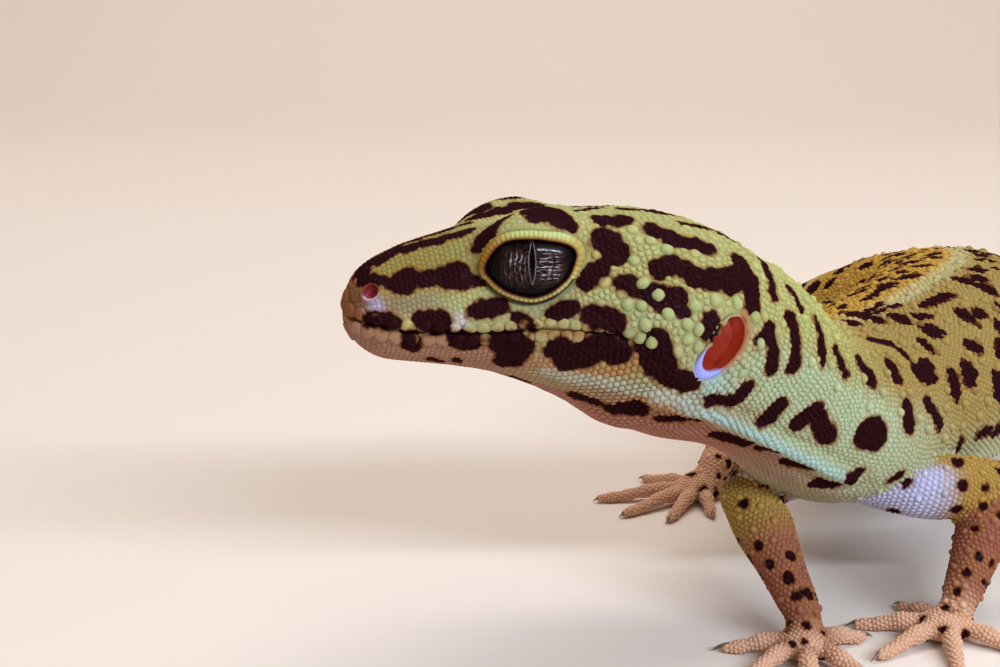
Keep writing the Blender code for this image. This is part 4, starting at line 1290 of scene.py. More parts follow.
FOLD_TURN = (
    # how far along, and the degrees round at which the pink of the throat starts
    (0, 152), (10, 150), (18, 138), (27, 134), (33, 143), (36, 145), (40, 142), (46, 140),
)
SIDE_TINTS = (
    # name, colour, share, half width, sharpness of its edge, then its line on either side
    ("amber of the cheek", (0.66, 0.42, 0.24), 0.8, 0.75, 2,
     (13.0, 127), (15.4, 121), (17.6, 115), (19.1, 107), (19.0, 99)),
    ("pale band of the jaw", (0.68, 0.68, 0.60), 0.8, 0.72, 4,
     (13.4, 131), (15.7, 127), (18.4, 122), (24.4, 122)),
    ("tan under the band", (0.64, 0.44, 0.26), 0.9, 0.7, 2,
     (19.5, 132), (23.0, 131), (25.5, 132), (28.0, 136)),
    ("amber by the eye", (0.60, 0.42, 0.16), 0.75, 0.55, 2, (9.5, 61)),
    ("rust of the mouth corner", (0.62, 0.36, 0.20), 0.85, 0.36, 2, (12.8, 103), (16.0, 98)),
    ("lilac below the nostril", (0.72, 0.68, 0.84), 0.85, 0.62, 2, (NOSTRIL[0] + 0.2, NOSTRIL[1] + 22)),
    ("cream behind the first lip bar", (0.78, 0.72, 0.46), 0.9, 0.6, 2, (4.0, 96)),
    ("white behind the second lip bar", (0.80, 0.77, 0.80), 0.8, 0.6, 2, (7.3, 94)),
)


def ground_at(points, part, along, turn):
    """The ground colour between the blotches."""
    level = np.abs(np.where(turn > 180, turn - 360, turn))
    right = (turn > 180) & (turn < 360)
    colour = np.tile(tone(0.60, 0.50, 0.28), (len(points), 1))

    def lay(paint, share, where=slice(None)):
        colour[where] = colour[where] * (1 - share[:, None]) + tone(*paint) * share[:, None]

    def before(low, high):
        return 1 - smoothstep(along, low, high)

    def after(low, high):
        return smoothstep(along, low, high)

    def below(low, high):
        return smoothstep(level, low, high)

    body = part == 0
    # Painted shade: the far (right) flank of the trunk is tinted a deeper gold, the colour it takes in shade.
    lay((0.73, 0.55, 0.22), right * after(44, 50) * 0.8)
    lay((0.66, 0.69, 0.54), before(40, 52) * below(62, 90) * body)
    lay((0.67, 0.66, 0.40), before(31, 44) * (1 - below(62, 90)) * body)
    lay((0.65, 0.63, 0.40), before(24, 34) * (1 - below(70, 95)) * body)
    lay((0.55, 0.49, 0.25), before(6, 12) * (1 - below(58, 80)) * body)
    lay((0.63, 0.62, 0.43), before(24, 30) * below(66, 84) * body)
    lay((0.54, 0.49, 0.36), before(4.5, 8) * below(58, 74) * body)
    lay((0.55, 0.40, 0.24), before(1.5, 4.0) * below(40, 80) * body)
    lay((0.50, 0.32, 0.20), before(0.7, 1.8) * body)
    lay((0.61, 0.45, 0.37), before(9, 17) * below(104, 116) * body)
    lay((0.62, 0.51, 0.39), before(26, 36) * after(10, 17) * below(112, 126) * body)
    fold_turn = np.interp(along, *np.transpose(FOLD_TURN))
    lay((0.62, 0.42, 0.36), smoothstep(level, fold_turn, fold_turn + 6) * before(44, 54) * body)
    lay((0.66, 0.68, 0.54), below(84, 118) * after(32, 48) * (1 - after(112, 122)) * 0.8 * body)
    lay((0.69, 0.67, 0.72), below(128, 150) * after(42, 52) * body)
    lay((0.84, 0.77, 0.56), after(112, 122) * 0.85 * body)
    lay((0.86, 0.84, 0.80), below(110, 150) * after(112, 122) * body)
    spine_line = hump(level * np.interp(along, stations, girths) / 360 - 0.4, 0.7)
    lay((0.72, 0.68, 0.50), spine_line * after(34, 46) * (1 - after(104, 114)) * 0.7 * body)
    here = np.flatnonzero(body & (along < 47))
    near = points[here]
    for side, _ in SIDES:
        for _, paint, share, half, power, *line in SIDE_TINTS:
            lay(paint, share * hump(chain_distance(near, places(line, side)), half, power), here)
        fold = hump(chain_distance(near, places(THROAT_FOLD, side)), 0.52) * smoothstep(along[here], 21, 27)
        lay((0.63, 0.76, 0.74), 0.95 * fold, here)
        # Round the ear: a lilac foot, a bluish patch below it and a rusty fade behind it.
        ear, ahead, high = ear_gap(side, near)
        lay((0.60, 0.60, 0.84), (1 - smoothstep(ear, 1.35, 1.60)) * ear_foot(ahead, high), here)
        lay((0.62, 0.72, 0.68), 0.6 * hump(np.hypot(ahead + 0.6, high + 3.0), 1.3), here)
        behind = hump(np.clip(ear - 1.2, 0, None), 1.8) * smoothstep(-ahead, 0.2, 1.0) * (high > -2)
        lay((0.66, 0.36, 0.24), 0.75 * behind, here)
        # Round the nostril: a dark line, a lilac lower rim and a red inside.
        nose = chain_distance(near, places([NOSTRIL], side))
        lay((0.34, 0.10, 0.14), 0.7 * hump(np.clip(nose - 0.62, 0, None), 0.16), here)
        low_rim = hump(nose - 0.62, 0.09) * smoothstep(level[here], NOSTRIL[1] - 2, NOSTRIL[1] + 7)
        lay((0.86, 0.74, 0.82), 0.9 * low_rim, here)
        lay((0.50, 0.08, 0.15), 1 - smoothstep(nose, 0.52, 0.64), here)
    limb = ~body
    lay((0.64, 0.50, 0.25), limb)
    lay((0.73, 0.72, 0.84), limb * before(5.0, 8.0) * below(20, 60) * 0.9)
    # The lower leg's rose-brown is its own colour, darkened partly as painted shade.
    lay((0.57, 0.34, 0.26), limb * smoothstep(along, 10, 15))
    lay((0.85, 0.65, 0.53), limb * smoothstep(along, 21, 25))
    return colour


def clear_gap(points, part, along):
    """How far each point is from the bare places: lids, ears and nostrils. Below zero inside them."""
    gap = np.full(len(points), FAR_OFF)
    here = np.flatnonzero((part == 0) & (along < 32))
    for side, _ in SIDES:
        lids, _, _ = lid_gap(side, points[here])
        ear, ahead_by, up_by = ear_gap(side, points[here])
        nose = chain_distance(points[here], places([NOSTRIL], side)) - NOSTRIL_RADIUS
        ear_out = (ear - 1.44) * 1.4 * rim_reach(ahead_by, up_by)
        gap[here] = np.minimum.reduce([gap[here], lids - 0.02, ear_out, nose])
    return gap


skin_edge = edge_at(skin_points, skin_part, skin_along)
bare = clear_gap(skin_points, skin_part, skin_along)
skin_edge = np.where(bare < 0.05, np.maximum(skin_edge, 0.6), skin_edge)
# Painted shade: dark pigment runs along the crack of the mouth.
here = np.flatnonzero((skin_part == 0) & (skin_along < 20))
for side, _ in SIDES:
    crack = chain_distance(skin_points[here], places(MOUTH, side))
    skin_edge[here] = np.minimum(skin_edge[here], crack - 0.10)
skin.data.vertices.foreach_set("co", (skin_points * MM).astype(np.float32).ravel())
put_values(skin.data, {
    "ground": ground_at(skin_points, skin_part, skin_along, skin_turn),
    "edge": skin_edge,
    # Painted shade: the bare skin, seen only between the scales, is darkened to 0.86.
    "shade": np.full(points_in_all, 0.86),
    "groove": np.zeros(points_in_all),
})
skin.data.materials.clear()
skin.data.materials.append(skin_finish("skin", 0.5, 0.04))
skin.data.shade_smooth()
skin.data.update()
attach(skin, "root")
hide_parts("head", "lower_jaw", "neck", "trunk", "tail_base", "tail_tip",
            *[name for leg in LEGS.values() for name in leg["names"]])

# ---- Eardrums and nostrils ----------------------------------------------------------------------
# Each eardrum is a thin wet skin stretched over the bottom of the ear's well, red with small veins. Each
# nostril ends in a little cup of the same wet skin.
DRUM_SHARE = 0.84
DRUM_DEPTH = 0.88
DRUM_DISH = 0.18
EAR_FUNNEL = np.array([
    # share of the opening's half size, depth below the skin round it
    (0.82, 0.93), (0.86, 0.84), (0.90, 0.68), (0.94, 0.46), (0.98, 0.22), (1.02, 0.07), (1.08, -0.04),
    (1.16, -0.09), (1.24, -0.09), (1.32, -0.06), (1.40, 0.02), (1.48, 0.10), (1.58, 0.30)])
SCALLOP = 0.17
NOSTRIL_CUP = 0.52
DRUM_RINGS, DRUM_SPOKES = 20, 144


def wet_skin(name, deep, middle_tone, light_tone, veined):
    """A wet mottled skin in three tones of red, veined more or less."""
    made, tree, shader = new_finish(name)
    place = node(tree, "ShaderNodeTexCoord").outputs["Object"]
    flesh = graded(tree, noise(tree, place, 1100.0, 4.0)["Fac"],
                   (0.35, deep), (0.62, middle_tone), (0.80, light_tone))
    vein = crackle(tree, place, 1600.0, 0.10, veined)
    tree.links.new(blend_colour(tree, vein, flesh, deep * 0.5), shader.inputs["Base Color"])
    bumped(tree, shader, vein, 0.35, 0.0001)
    shader.inputs["Roughness"].default_value = 0.5
    shader.inputs["Specular IOR Level"].default_value = 0.2
    shader.inputs["Subsurface Weight"].default_value = 0.1
    shader.inputs["Subsurface Scale"].default_value = 0.001
    return made


# Painted shade: the eardrum's reds are darkened to match the shaded wall of the well, as the drum itself
# faces the light.
drum_finish = wet_skin(
    "eardrum", tone(0.51, 0.11, 0.04), tone(0.55, 0.13, 0.05), tone(0.58, 0.17, 0.08), 0.08)
nostril_finish = wet_skin(
    "nostril_skin", tone(0.42, 0.03, 0.08), tone(0.50, 0.06, 0.12), tone(0.57, 0.12, 0.18), 0.05)
bpy.context.view_layer.update()
skin_tree = BVHTree.FromObject(skin, bpy.context.evaluated_depsgraph_get())
near_ear = (stations > 18) & (stations < 33)
plain_form = (form - out_of_form * COAT_DEPTH)[near_ear]
plain_faces = grid_faces(*plain_form.shape[:2])
plain_tree = BVHTree.FromPolygons(plain_form.reshape(-1, 3).tolist(), plain_faces.tolist())
ring = np.linspace(0, 1, DRUM_RINGS)[:, None]
spoke = np.linspace(0, 2 * np.pi, DRUM_SPOKES, endpoint=False)[None, :]
disc_faces = grid_faces(DRUM_RINGS, DRUM_SPOKES)
funnel_faces = grid_faces(len(EAR_FUNNEL), DRUM_SPOKES)
opening, funnel_depth = EAR_FUNNEL[:, :1], EAR_FUNNEL[:, 1:]
for side, label in SIDES:
    ahead_by, up_by = ear_outline(spoke)
    foot = ear_foot(ahead_by, up_by)
    front = smoothstep(ahead_by, 0.1, 0.7) * (1 - foot)
    rear = smoothstep(-ahead_by, 0.2, 0.9)
    tooth = front * np.abs(np.sin(6.5 * spoke))
    share = np.concatenate([ring * DRUM_SHARE, opening])
    toothed = (share <= 1.10) & (share > DRUM_SHARE + 0.01)
    wall = 1 - 0.24 * rear * (1 - smoothstep(share, 0.84, 1.0))
    share = np.where(share > 1, 1 + (share - 1) * rim_reach(ahead_by, up_by), share * wall)
    share = share - np.where(toothed, SCALLOP * tooth, 0)
    depth = np.concatenate([DRUM_DEPTH + DRUM_DISH * (1 - ring**2), funnel_depth]) + 0 * spoke
    depth = np.where(depth < 0, depth * foot, depth)
    depth[DRUM_RINGS:] -= 0.16 * tooth * hump(opening - 1.04, 0.10)
    _, forward, left, up = spine_at(EAR[0])
    well = places([EAR], side)[0] + (share * ahead_by)[..., None] * forward + (share * up_by)[..., None] * up
    away = side * left
    for place, deep in zip(well.reshape(-1, 3), depth.ravel()):
        hit = plain_tree.ray_cast(Vector(place + away * 8), Vector(-away))[0]
        place += away * ((np.array(hit) - place) @ away - deep)
    mesh = mesh_from(f"drum_{label}", well[:DRUM_RINGS], [disc_faces[:, ::side]])
    finished(f"drum_{label}", mesh, drum_finish, "eardrum", f"eardrum_{label}")
    red = (1 - smoothstep(opening, 0.94 + 0.20 * rear, 1.04 + 0.50 * rear))[..., None]
    lilac = (foot * (1 - smoothstep(opening, 1.36, 1.52)))[..., None]
    rim_ground = tone(0.60, 0.53, 0.37) * (1 - lilac) + tone(0.59, 0.62, 0.88) * lilac
    rim_ground = rim_ground * (1 - red) + tone(0.58, 0.17, 0.10) * red
    rim_points = well[DRUM_RINGS:].reshape(-1, 3)
    count = len(rim_points)
    rim_edge = edge_at(rim_points, np.zeros(count), np.full(count, EAR[0]))
    rim_edge = np.where(((opening > 0.95) & (front > 0.1)).ravel(), rim_edge, 1.0)
    mesh = mesh_from(
        f"ear_rim_{label}", rim_points, [funnel_faces[:, ::side]],
        ground=rim_ground.reshape(-1, 3), edge=rim_edge, shade=np.ones(count), groove=np.zeros(count),
    )
    finished(f"ear_rim_{label}", mesh, lid_finish, "eardrum")
    nose_row = int(np.argmin(np.abs(stations - NOSTRIL[0])))
    nose_column = int(side * NOSTRIL[1] / 360 * ROUND_STEPS) % ROUND_STEPS
    away = out_of_form[nose_row, nose_column]
    across_cup = unit(np.cross(away, [0, 0, 1]))
    over_cup = np.cross(across_cup, away)
    sunk = (0.17 + 0.42 * (1 - ring**3)) * np.ones_like(spoke)
    cup = places([NOSTRIL], side)[0] + (NOSTRIL_CUP * ring * np.cos(spoke))[..., None] * across_cup
    cup = cup + (NOSTRIL_CUP * ring * np.sin(spoke))[..., None] * over_cup - sunk[..., None] * away
    mesh = mesh_from(f"nostril_{label}", cup, [disc_faces[:, ::-1]])
    finished(f"nostril_{label}", mesh, nostril_finish, "spotted_skin")

# ---- Scales -------------------------------------------------------------------------------------
# Small domed granules pave the whole skin, with larger tubercles raised among them on the temples, neck,
# back and tail, and plates along the lips. Each takes the colour of the pattern where it is rooted, with
# painted shade darkening its foot.
GRAIN = (
    # place along the body, distance between granules there
    ("snout", 0, 0.38),
    ("muzzle", 8, 0.40),
    ("brow", 14, 0.42),
    ("temple", 20, 0.50),
    ("ear", 27, 0.48),
    ("nape", 33, 0.42),
    ("neck", 42, 0.43),
    ("chest", 56, 0.50),
    ("trunk", 80, 0.54),
    ("hips", 108, 0.52),
    ("tail waist", 118, 0.52),
    ("tail bulb", 140, 0.62),
    ("tail end", 198, 0.50),
)
LEG_GRAIN = 0.43
TOE_GRAIN = 0.38
PALE_TUBERCLES = (
    # round the ear and the temple: how far along, degrees round from the top
    (19.3, 77), (19.4, 86), (21.1, 80), (23.0, 75), (24.2, 71), (25.6, 69), (22.4, 84), (22.5, 91),
    (16.9, 89), (17.6, 91), (18.3, 92), (19.0, 94), (19.8, 95), (20.6, 71), (19.8, 65), (18.4, 77),
    (23.2, 86), (23.4, 94), (27.0, 73), (27.9, 84), (22.1, 47), (19.6, 53), (25.2, 109), (27.6, 101),
)
TUBERCLE_FIELDS = (
    # name, from and to along, distance apart, smallest and largest half width, degrees each side of the top
    ("head", 17.0, 30.5, 1.75, 0.38, 0.56, 100),
    ("neck", 31.0, 46.0, 1.95, 0.34, 0.46, 88),
    ("back", 46.5, 112.0, 2.25, 0.40, 0.52, 98),
)
PALE_TUBERCLE_HALF = 0.50
LEG_TUBERCLE_HALF = 0.34
TAIL_TUBERCLE_SPAN = 250
ROW_PITCH = 0.87
FEWEST_ROUND_LEG = 4
GRANULE_KIND, TUBERCLE_KIND, PLATE_KIND, EDGE_KIND = range(4)
MOST_MOVED = (0.55, 0.9, 0.9, FAR_OFF)
CROWDING_REACH = 1.3
CROWDED_GRANULES = 0.52
CROWDED_TUBERCLES = 0.80
NEAR_TO_MOVE, NEAR_TO_MEET = 8, 14
chance = np.random.default_rng(8)
corner_first = np.empty(len(skin.data.polygons), np.int32)
skin.data.polygons.foreach_get("loop_start", corner_first)
corner_point = np.empty(len(skin.data.loops), np.int32)
skin.data.loops.foreach_get("vertex_index", corner_point)
skin_way = np.empty(len(skin.data.vertices) * 3, np.float32)
skin.data.vertex_normals.foreach_get("vector", skin_way)
skin_way = skin_way.reshape(-1, 3)


def settled_on_skin(points):
    """The nearest places on the skin, the directions out of it, its nearest points and the moves made."""
    found_at, _, face, moved = zip(*[skin_tree.find_nearest(Vector(point) * MM) for point in points])
    on_skin = np.array(found_at) / MM
    corners = corner_point[corner_first[np.array(face)][:, None] + np.arange(3)]
    gaps = np.linalg.norm(skin_points[corners] - on_skin[:, None], axis=2) + 1e-3
    way = unit(np.sum(skin_way[corners] * (1 / gaps)[..., None], axis=1))
    closest = corners[np.arange(len(points)), np.argmin(gaps, axis=1)]
    return on_skin, way, closest, np.array(moved) / MM


roots, sizes, kinds = [], [], []


def take(points, size, kind):
    """Adds scales of one kind rooted at these points."""
    roots.append(points)
    sizes.append(np.broadcast_to(np.asarray(size, float), len(points)).copy())
    kinds.append(np.full(len(points), kind))


def staggered(count, row):
    """Numbers for the scales of a row, shifted by half a step in every other row."""
    return np.arange(count) + 0.5 * (row % 2)


for side, _ in SIDES:
    mouth_line = np.array(MOUTH, float)
    gone = line_walked(places(MOUTH, side))
    at = 0.75
    while at < gone[-1] - 0.6:
        half = 0.58 - 0.22 * (at / gone[-1])
        along, turn = (float(np.interp(at, gone, mouth_line[:, i])) for i in (0, 1))
        lip_step = (half * 0.95 + 0.06) * (360 / girth_at(along))
        for way in (-1, 1):
            where, round_to = np.array([along + 0.3 * half * way]), np.array([side * (turn + way * lip_step)])
            take(on_form(where, round_to, skin_form), half, PLATE_KIND)
        at += 2.12 * half
    at = np.arange(0, gone[-1], 0.22)
    along, turn = (np.interp(at, gone, mouth_line[:, i]) for i in (0, 1))
    take(on_form(along, side * turn, skin_form), 0.05, EDGE_KIND)
    rim = lid_rim[::4]
    take(over_eye(side, rim[:, 0], rim[:, 1], np.full(len(rim), 0.1)), 0.04, EDGE_KIND)
    ahead_by, up_by = ear_outline(np.linspace(0, 2 * np.pi, 44, endpoint=False))
    stretch = 1 + 0.43 * rim_reach(ahead_by, up_by)
    ahead_by, up_by = ahead_by * stretch, up_by * stretch
    _, forward, left, up = spine_at(EAR[0])
    rim = places([EAR], side)[0] + ahead_by[:, None] * forward + up_by[:, None] * up
    take(rim - (side * up_by**2 / 18)[:, None] * left, 0.05, EDGE_KIND)
    rim = NOSTRIL_RADIUS * 1.05
    spokes = np.linspace(0, 2 * np.pi, 14, endpoint=False)
    rim_turn = side * NOSTRIL[1] + rim * np.sin(spokes) * (360 / girth_at(NOSTRIL[0]))
    take(on_form(NOSTRIL[0] + rim * np.cos(spokes), rim_turn), 0.05, EDGE_KIND)
    for along, turn in PALE_TUBERCLES:
        jitter = 0 if side > 0 else chance.uniform(-0.4, 0.4)
        take(places([(along + jitter, turn)], side), PALE_TUBERCLE_HALF, TUBERCLE_KIND)
# One large plate tips the snout and another the chin.
take(places([(0.10, 0)]), 0.70, PLATE_KIND)
take(places([(0.32, 180)]), 0.66, PLATE_KIND)
pale_count = sum(len(points) for points in roots)

for _, low, high, gap, small, large, span in TUBERCLE_FIELDS:
    for row, along in enumerate(np.arange(low, high, gap * ROW_PITCH)):
        girth = girth_at(along)
        count = int(girth * span / 180 / gap)
        turn = (staggered(count, row) + 0.25 - count / 2) * 2 * span / count
        turn = turn + chance.uniform(-0.3, 0.3, count) * gap * 360 / girth
        where = along + chance.uniform(-0.32, 0.32, count) * gap
        half = chance.uniform(small, large, count)
        half = half * (1 - 0.3 * (np.abs(turn) < 22) * (along < 31))
        take(on_form(where, turn, skin_form), half, TUBERCLE_KIND)
for ring_at in np.arange(TAIL_RINGS_FROM + TAIL_RING / 2, 190, TAIL_RING):
    girth = girth_at(ring_at)
    count = int(girth * TAIL_TUBERCLE_SPAN / 360 / 2.3)
    turn = (np.arange(count) + 0.5 - count / 2) * TAIL_TUBERCLE_SPAN / count + chance.uniform(-3, 3, count)
    half = chance.uniform(0.40, 0.55, count) * min(1, girth / 26)
    where = ring_at + 0.9 + chance.uniform(-0.2, 0.2, count)
    take(on_form(where, turn, skin_form), half, TUBERCLE_KIND)

fine_turn = np.linspace(-180, 180, 361)
fine_level = np.abs(fine_turn)
along = 0.35
row = 0
while along <= TAIL_END - 0.4:
    gap = float(column(GRAIN, 2, along))
    girth = girth_at(along)
    # Coarser on the jowls and the belly, finer over the eyes.
    coarse = 1 + 0.25 * hump(fine_level - 120, 22) * smoothstep(along, 5, 12) * (along < 28)
    coarse = coarse - 0.18 * hump(along - 12.5, 3.5, 4) * (1 - smoothstep(fine_level, 45, 60))
    coarse = coarse + 0.4 * smoothstep(fine_level, 118, 140) * smoothstep(along, 44, 52)
    density = girth / 360 / (gap * coarse)
    total = walked(0.5 * (density[1:] + density[:-1]))
    count = max(3, int(round(total[-1])))
    turn = np.interp((staggered(count, row) + 0.1) * total[-1] / count, total, fine_turn)
    turn = turn + chance.uniform(-0.22, 0.22, count) * gap * 360 / girth
    where = np.clip(along + chance.uniform(-0.2, 0.2, count) * gap, 0.15, TAIL_END - 0.3)
    half = 0.5 * gap * np.interp(turn, fine_turn, coarse)
    take(on_form(where, turn, skin_form), half, GRANULE_KIND)
    along += ROW_PITCH * gap
    row += 1
for rings, _, number, _ in forms[1:]:
    gap = LEG_GRAIN if number < 2 else TOE_GRAIN
    walk = line_walked(rings.mean(axis=1))
    around = np.linalg.norm(np.diff(rings, axis=1, append=rings[:, :1]), axis=2).sum(axis=1)
    for row, at in enumerate(np.arange(0.3, walk[-1] - 0.1, ROW_PITCH * gap)):
        i = int(np.clip(np.searchsorted(walk, at) - 1, 0, len(walk) - 2))
        share = (at - walk[i]) / max(walk[i + 1] - walk[i], 1e-6)
        ring = rings[i] * (1 - share) + rings[i + 1] * share
        count = int(around[i] / gap)
        if count < FEWEST_ROUND_LEG:
            continue
        col = (staggered(count, row) + chance.uniform(-0.2, 0.2, count)) * len(ring) / count
        first = col.astype(int) % len(ring)
        between = (col - np.floor(col))[:, None]
        rooted = ring[first] * (1 - between) + ring[(first + 1) % len(ring)] * between
        if number < 2 and row % 4 == 0 and row > 3:
            upper_side = np.abs((col / len(ring) + 0.5) % 1 - 0.5) < 0.34
            chosen = (np.arange(count) % 5 == (row // 4) % 2 * 2) & upper_side
            take(rooted[chosen], LEG_TUBERCLE_HALF, TUBERCLE_KIND)
            rooted = rooted[~chosen]
        take(rooted, 0.5 * gap, GRANULE_KIND)

# Scales that lie too far off the skin or too close to a larger one are left out; the rest move apart.
root = np.concatenate(roots)
size = np.concatenate(sizes)
kind = np.concatenate(kinds)
root, way, closest, moved = settled_on_skin(root)
off_floor = root[:, 2] > FLOOR_CLEARANCE + 0.02
keep = (moved < np.array(MOST_MOVED)[kind]) & (off_floor | (kind == EDGE_KIND))
order = np.argsort(np.array([1, 0.5, 0, 0])[kind], kind="stable")
order = order[keep[order]]
tree = tree_of(root[order])
dropped = np.zeros(len(order), bool)
pale = order < pale_count
root, size, kind = root[order], size[order], kind[order]
for i, point in enumerate(root):
    if kind[i] > TUBERCLE_KIND:
        continue
    for _, other, gap in tree.find_range(point, CROWDING_REACH):
        if other >= i or dropped[other]:
            continue
        least = CROWDED_GRANULES if kind[i] == kind[other] == GRANULE_KIND else CROWDED_TUBERCLES
        if gap < least * (size[i] + size[other]):
            dropped[i] = True
            break
root, size, kind, pale = (values[~dropped] for values in (root, size, kind, pale))


def neighbours(count):
    """The numbers of the nearest scales to each one."""
    tree = tree_of(root)
    return np.array([[other for _, other, _ in tree.find_n(point, count + 1)][1:] for point in root])


loose = kind == GRANULE_KIND
for _ in range(2):
    near = neighbours(NEAR_TO_MOVE)
    for _ in range(4):
        rel = root[:, None] - root[near]
        gap = np.linalg.norm(rel, axis=2) + 1e-6
        push = np.clip(size[:, None] + size[near] - gap, 0, None) * 0.32
        move = np.sum(rel / gap[..., None] * push[..., None], axis=1)
        root[loose] += np.clip(move, -0.15, 0.15)[loose]
    root, way, closest, _ = settled_on_skin(root)
part, along, turn = skin_part[closest], skin_along[closest], skin_turn[closest]
bare = clear_gap(root, part, along)
live = (kind != EDGE_KIND) & (bare > 0.05) & (root[:, 2] > FLOOR_CLEARANCE + 0.02)

# Each scale meets its neighbours at borders set by their sizes.
near = neighbours(NEAR_TO_MEET)
rel = root[near] - root[:, None]
rel = rel - way[:, None] * np.sum(rel * way[:, None], axis=2)[..., None]
reach = np.linalg.norm(rel, axis=2) + 1e-6
facing = np.sum(way[near] * way[:, None], axis=2) > 0.0
border = reach * (size[:, None] / (size[:, None] + size[near]))
off_way = np.where(np.abs(way[:, 2:]) > 0.9, [[1.0, 0, 0]], [[0, 0, 1.0]])
first_axis = unit(np.cross(way, off_way))
second_axis = np.cross(way, first_axis)
toward_first = np.sum(rel * first_axis[:, None], axis=2) / reach
toward_second = np.sum(rel * second_axis[:, None], axis=2) / reach
scale_ground = ground_at(root, part, along, turn)
scale_edge = edge_at(root, part, along) + chance.uniform(-0.09, 0.09, len(root))
scale_edge = np.where(pale, np.maximum(scale_edge, 0.5), scale_edge)
scale_shade = chance.uniform(0.94, 1.05, len(root)) + 0.05 * (kind == TUBERCLE_KIND)
pale_bump = pale & (kind == TUBERCLE_KIND)
scale_ground[pale_bump] = scale_ground[pale_bump] * 0.35 + tone(0.58, 0.61, 0.40) * 0.65

# Each outline runs up half a scale, from its rim to near its top: share of its half width, share of its
# height.
GRANULE = ((1.0, -0.5), (0.88, 0.42), (0.56, 0.86))
SMALL_GRANULE = ((1.0, -0.5), (0.74, 0.66))
TUBERCLE = ((1.0, -0.4), (0.88, 0.20), (0.66, 0.58), (0.34, 0.90))
PLATE = ((1.0, -0.5), (0.90, 0.55), (0.66, 0.96))
PATCH_HALF = 0.0015
FINE_PATTERN_END = 48
granule_finish = skin_finish("granules", 0.45, 0.04)


def scale_mesh(name, chosen, sides, profile, tall, sharp):
    """Domes over the chosen scales, each as wide as its neighbours let it be."""
    spin = chance.uniform(0, 2 * np.pi, len(chosen))[:, None] + np.arange(sides) * 2 * np.pi / sides
    cosine, sine = np.cos(spin), np.sin(spin)
    toward = [axis[chosen][:, :, None] for axis in (toward_first, toward_second)]
    meets = toward[0] * cosine[:, None] + toward[1] * sine[:, None]
    meets = np.where(facing[chosen][:, :, None], np.clip(meets, 0, None), 0) / border[chosen][:, :, None]
    limit = 1 / (1.45 * size[chosen])[:, None]
    wide = (np.sum(meets**sharp, axis=1) + limit**sharp) ** (-1 / sharp) * 0.985
    middle, up = root[chosen][:, None], way[chosen][:, None]
    around = cosine[..., None] * first_axis[chosen][:, None] + sine[..., None] * second_axis[chosen][:, None]
    tall = tall[:, None, None]
    rises = [rise for _, rise in profile]
    layers = [middle + share * wide[..., None] * around + (rise * tall) * up for share, rise in profile]
    points = np.concatenate([*layers, middle + up * tall], axis=1)
    points[..., 2] = np.maximum(points[..., 2], 0.012)
    per = points.shape[1]
    # Painted shade: each scale is painted darker towards its foot, where it meets its neighbours.
    in_groove = np.clip(1 - np.clip(rises, 0, None) / 0.7, 0, 1)
    groove = np.tile(np.append(np.repeat(in_groove, sides), 0.0), len(chosen))
    top = (len(profile) - 1) * sides + np.arange(sides)
    tips = np.stack([top, np.roll(top, -1), np.full(sides, per - 1)], axis=1)
    step = (np.arange(len(chosen)) * per)[:, None, None]
    faces = [(part_faces + step).reshape(-1, part_faces.shape[1])
             for part_faces in (grid_faces(len(profile), sides), tips)]
    # On the unwrap of the skin, the body takes the whole height and each length of a leg an eighth of it.
    body, round_share = part[chosen] == 0, turn[chosen] / 360
    u = np.where(body, along[chosen] / TAIL_END, along[chosen] / 40)
    v = np.where(body, round_share, (round_share + part[chosen] % 8) / 8)
    patch = PATCH_HALF * np.stack([cosine, sine], axis=2)
    coords = np.concatenate([share * patch for share, _ in profile] + [np.zeros((len(chosen), 1, 2))], axis=1)
    coords = coords + np.stack([u, v], axis=1)[:, None]

    def many(values):
        return np.repeat(values[chosen], per, axis=0)

    ground, edge = many(scale_ground), many(scale_edge)
    spread = points.reshape(-1, 3)
    if along[chosen].max() < FINE_PATTERN_END:
        close = edge_at(spread, many(part), many(along))
        edge = np.where(many(pale_bump), edge, 0.25 * edge + 0.75 * close)
    if kind[chosen[0]] == PLATE_KIND:
        ground = ground_at(spread, many(part), many(along), many(turn))
    return mesh_from(name, points, faces, coords=coords.reshape(-1, 2), ground=ground, edge=edge,
                     shade=many(scale_shade), groove=groove)


def lay_scales(name, where, sides, profile, rise, slot="spotted_skin", sharp=9.0):
    """One joined piece of scales, each rising by a share of its own size."""
    chosen = np.flatnonzero(live & where)
    tall = np.broadcast_to(rise, size.shape)[chosen] * size[chosen]
    finished(name, scale_mesh(name, chosen, sides, profile, tall, sharp), granule_finish, slot)


def stretch_along(low, high):
    """The scales of one stretch of the body."""
    return (part == 0) & (along >= low) & (along < high)


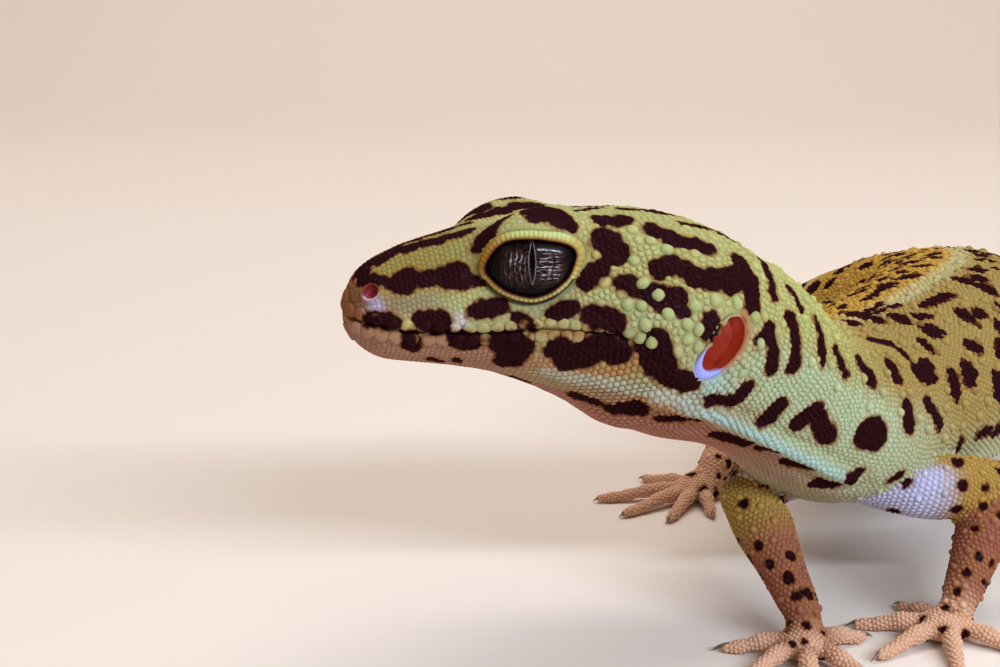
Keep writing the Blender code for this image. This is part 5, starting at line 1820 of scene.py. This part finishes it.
grain, raised = kind == GRANULE_KIND, kind == TUBERCLE_KIND
left_side = turn < 180
upper = (turn < 75) | (turn > 285)
level = np.where(turn > 180, 360 - turn, turn)
pale_here = smoothstep(scale_edge, -0.1, 0.1)
head_rise = 0.30 + 0.26 * smoothstep(along, 12, 20) * smoothstep(level, 20, 60)
head_rise = head_rise - 0.16 * smoothstep(along, 32, 44)
head_rise = head_rise * (0.35 + 0.65 * smoothstep(bare, 0.2, 1.3)) * (0.75 + 0.25 * pale_here)
bump_rise = 0.45 + 0.55 * pale_here
bump_rise = bump_rise * (1 - 0.35 * (1 - smoothstep(level, 25, 50)) * (1 - smoothstep(along, 22, 27)))
for name, where in (
    ("snout_granules", stretch_along(0, 13)),
    ("crown_granules", stretch_along(13, 31) & upper),
    ("cheek_granules_left", stretch_along(13, 31) & ~upper & left_side),
    ("cheek_granules_right", stretch_along(13, 31) & ~upper & ~left_side),
    ("neck_granules_left", stretch_along(31, 47) & left_side),
    ("neck_granules_right", stretch_along(31, 47) & ~left_side),
):
    lay_scales(name, where & grain, 8, GRANULE, head_rise)
for name, low, high in (("chest_granules", 47, 64), ("back_granules", 64, 82), ("loin_granules", 82, 112),
                        ("tail_granules", 112, 150), ("tail_end_granules", 150, 199)):
    lay_scales(name, stretch_along(low, high) & grain, 6, SMALL_GRANULE, 0.60)
lay_scales("lip_plates", kind == PLATE_KIND, 14, PLATE, 0.24, sharp=16.0)
for name, low, high, sides, rise in (
    ("head_tubercles", 0, 31, 12, 0.58 * bump_rise),
    ("neck_tubercles", 31, 47, 12, 0.90 * bump_rise),
    ("back_tubercles", 47, 112, 10, 0.85 * bump_rise),
    ("tail_tubercles", 112, 199, 10, 0.90),
):
    lay_scales(name, stretch_along(low, high) & raised, sides, TUBERCLE, rise)
part_leg = np.array([leg for *_, leg in forms])[part]
for leg in LEGS:
    lay_scales(f"{leg}_granules", (part_leg == leg) & grain, 6, SMALL_GRANULE, 0.58, "leg_skin")
    lay_scales(f"{leg}_tubercles", (part_leg == leg) & raised, 8, TUBERCLE, 0.80, "leg_skin")

# ---- Claws --------------------------------------------------------------------------------------
# A short curved claw of dark translucent horn ends each of the twenty toes. Its root is set in the tip
# of the toe, and its point stays just over the floor.
CLAW_LENGTH = 1.45
CLAW_RADIUS = 0.27
CLAW_DROP = 0.42
CLAW_RINGS, CLAW_SIDES = 9, 10
horn, tree, shader = new_finish("claw_horn")
place = node(tree, "ShaderNodeTexCoord").outputs["Object"]
streaks = noise(tree, place, 2600.0)["Fac"]
tint = graded(tree, streaks, (0.35, tone(0.30, 0.19, 0.14)), (0.7, tone(0.52, 0.38, 0.30)))
tree.links.new(tint, shader.inputs["Base Color"])
bumped(tree, shader, streaks, 0.3, 0.00003)
shader.inputs["Roughness"].default_value = 0.3
shader.inputs["Coat Weight"].default_value = 0.4
share = np.linspace(0, 1, CLAW_RINGS)
height = 0.62 + 0.10 * np.sin(np.pi * share) - CLAW_DROP * share**2
fat = (CLAW_RADIUS * (1 - share**1.5 * 0.92))[:, None, None]
angles = np.linspace(0, 2 * np.pi, CLAW_SIDES, endpoint=False)[None, :, None]
for leg, plan in LEGS.items():
    claws = []
    for toward, start, length in toe_lines(plan):
        aside = np.array([-toward[1], toward[0], 0])
        line = start + (0.98 * length + share * CLAW_LENGTH)[:, None] * toward + np.outer(height, UPRIGHT)
        rings = line[:, None] + fat * (0.75 * np.cos(angles) * aside + np.sin(angles) * UPRIGHT)
        rings[..., 2] = np.maximum(rings[..., 2], 0.02)
        claws.append(rings)
    first = (np.arange(len(claws)) * CLAW_RINGS * CLAW_SIDES)[:, None]
    walls = (first[..., None] + grid_faces(CLAW_RINGS, CLAW_SIDES)).reshape(-1, 4)
    tips = first + (CLAW_RINGS - 1) * CLAW_SIDES + np.arange(CLAW_SIDES)
    mesh = mesh_from(f"claws_{leg}", np.concatenate(claws), [walls, tips])
    finished(f"claws_{leg}", mesh, horn, "leg_skin")

# ---- End ----
# The size of the solids and of the finished model.
boxes = {"solids": solid_box, "scene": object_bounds()}
{name: [list(corner) for corner in box] for name, box in boxes.items()}
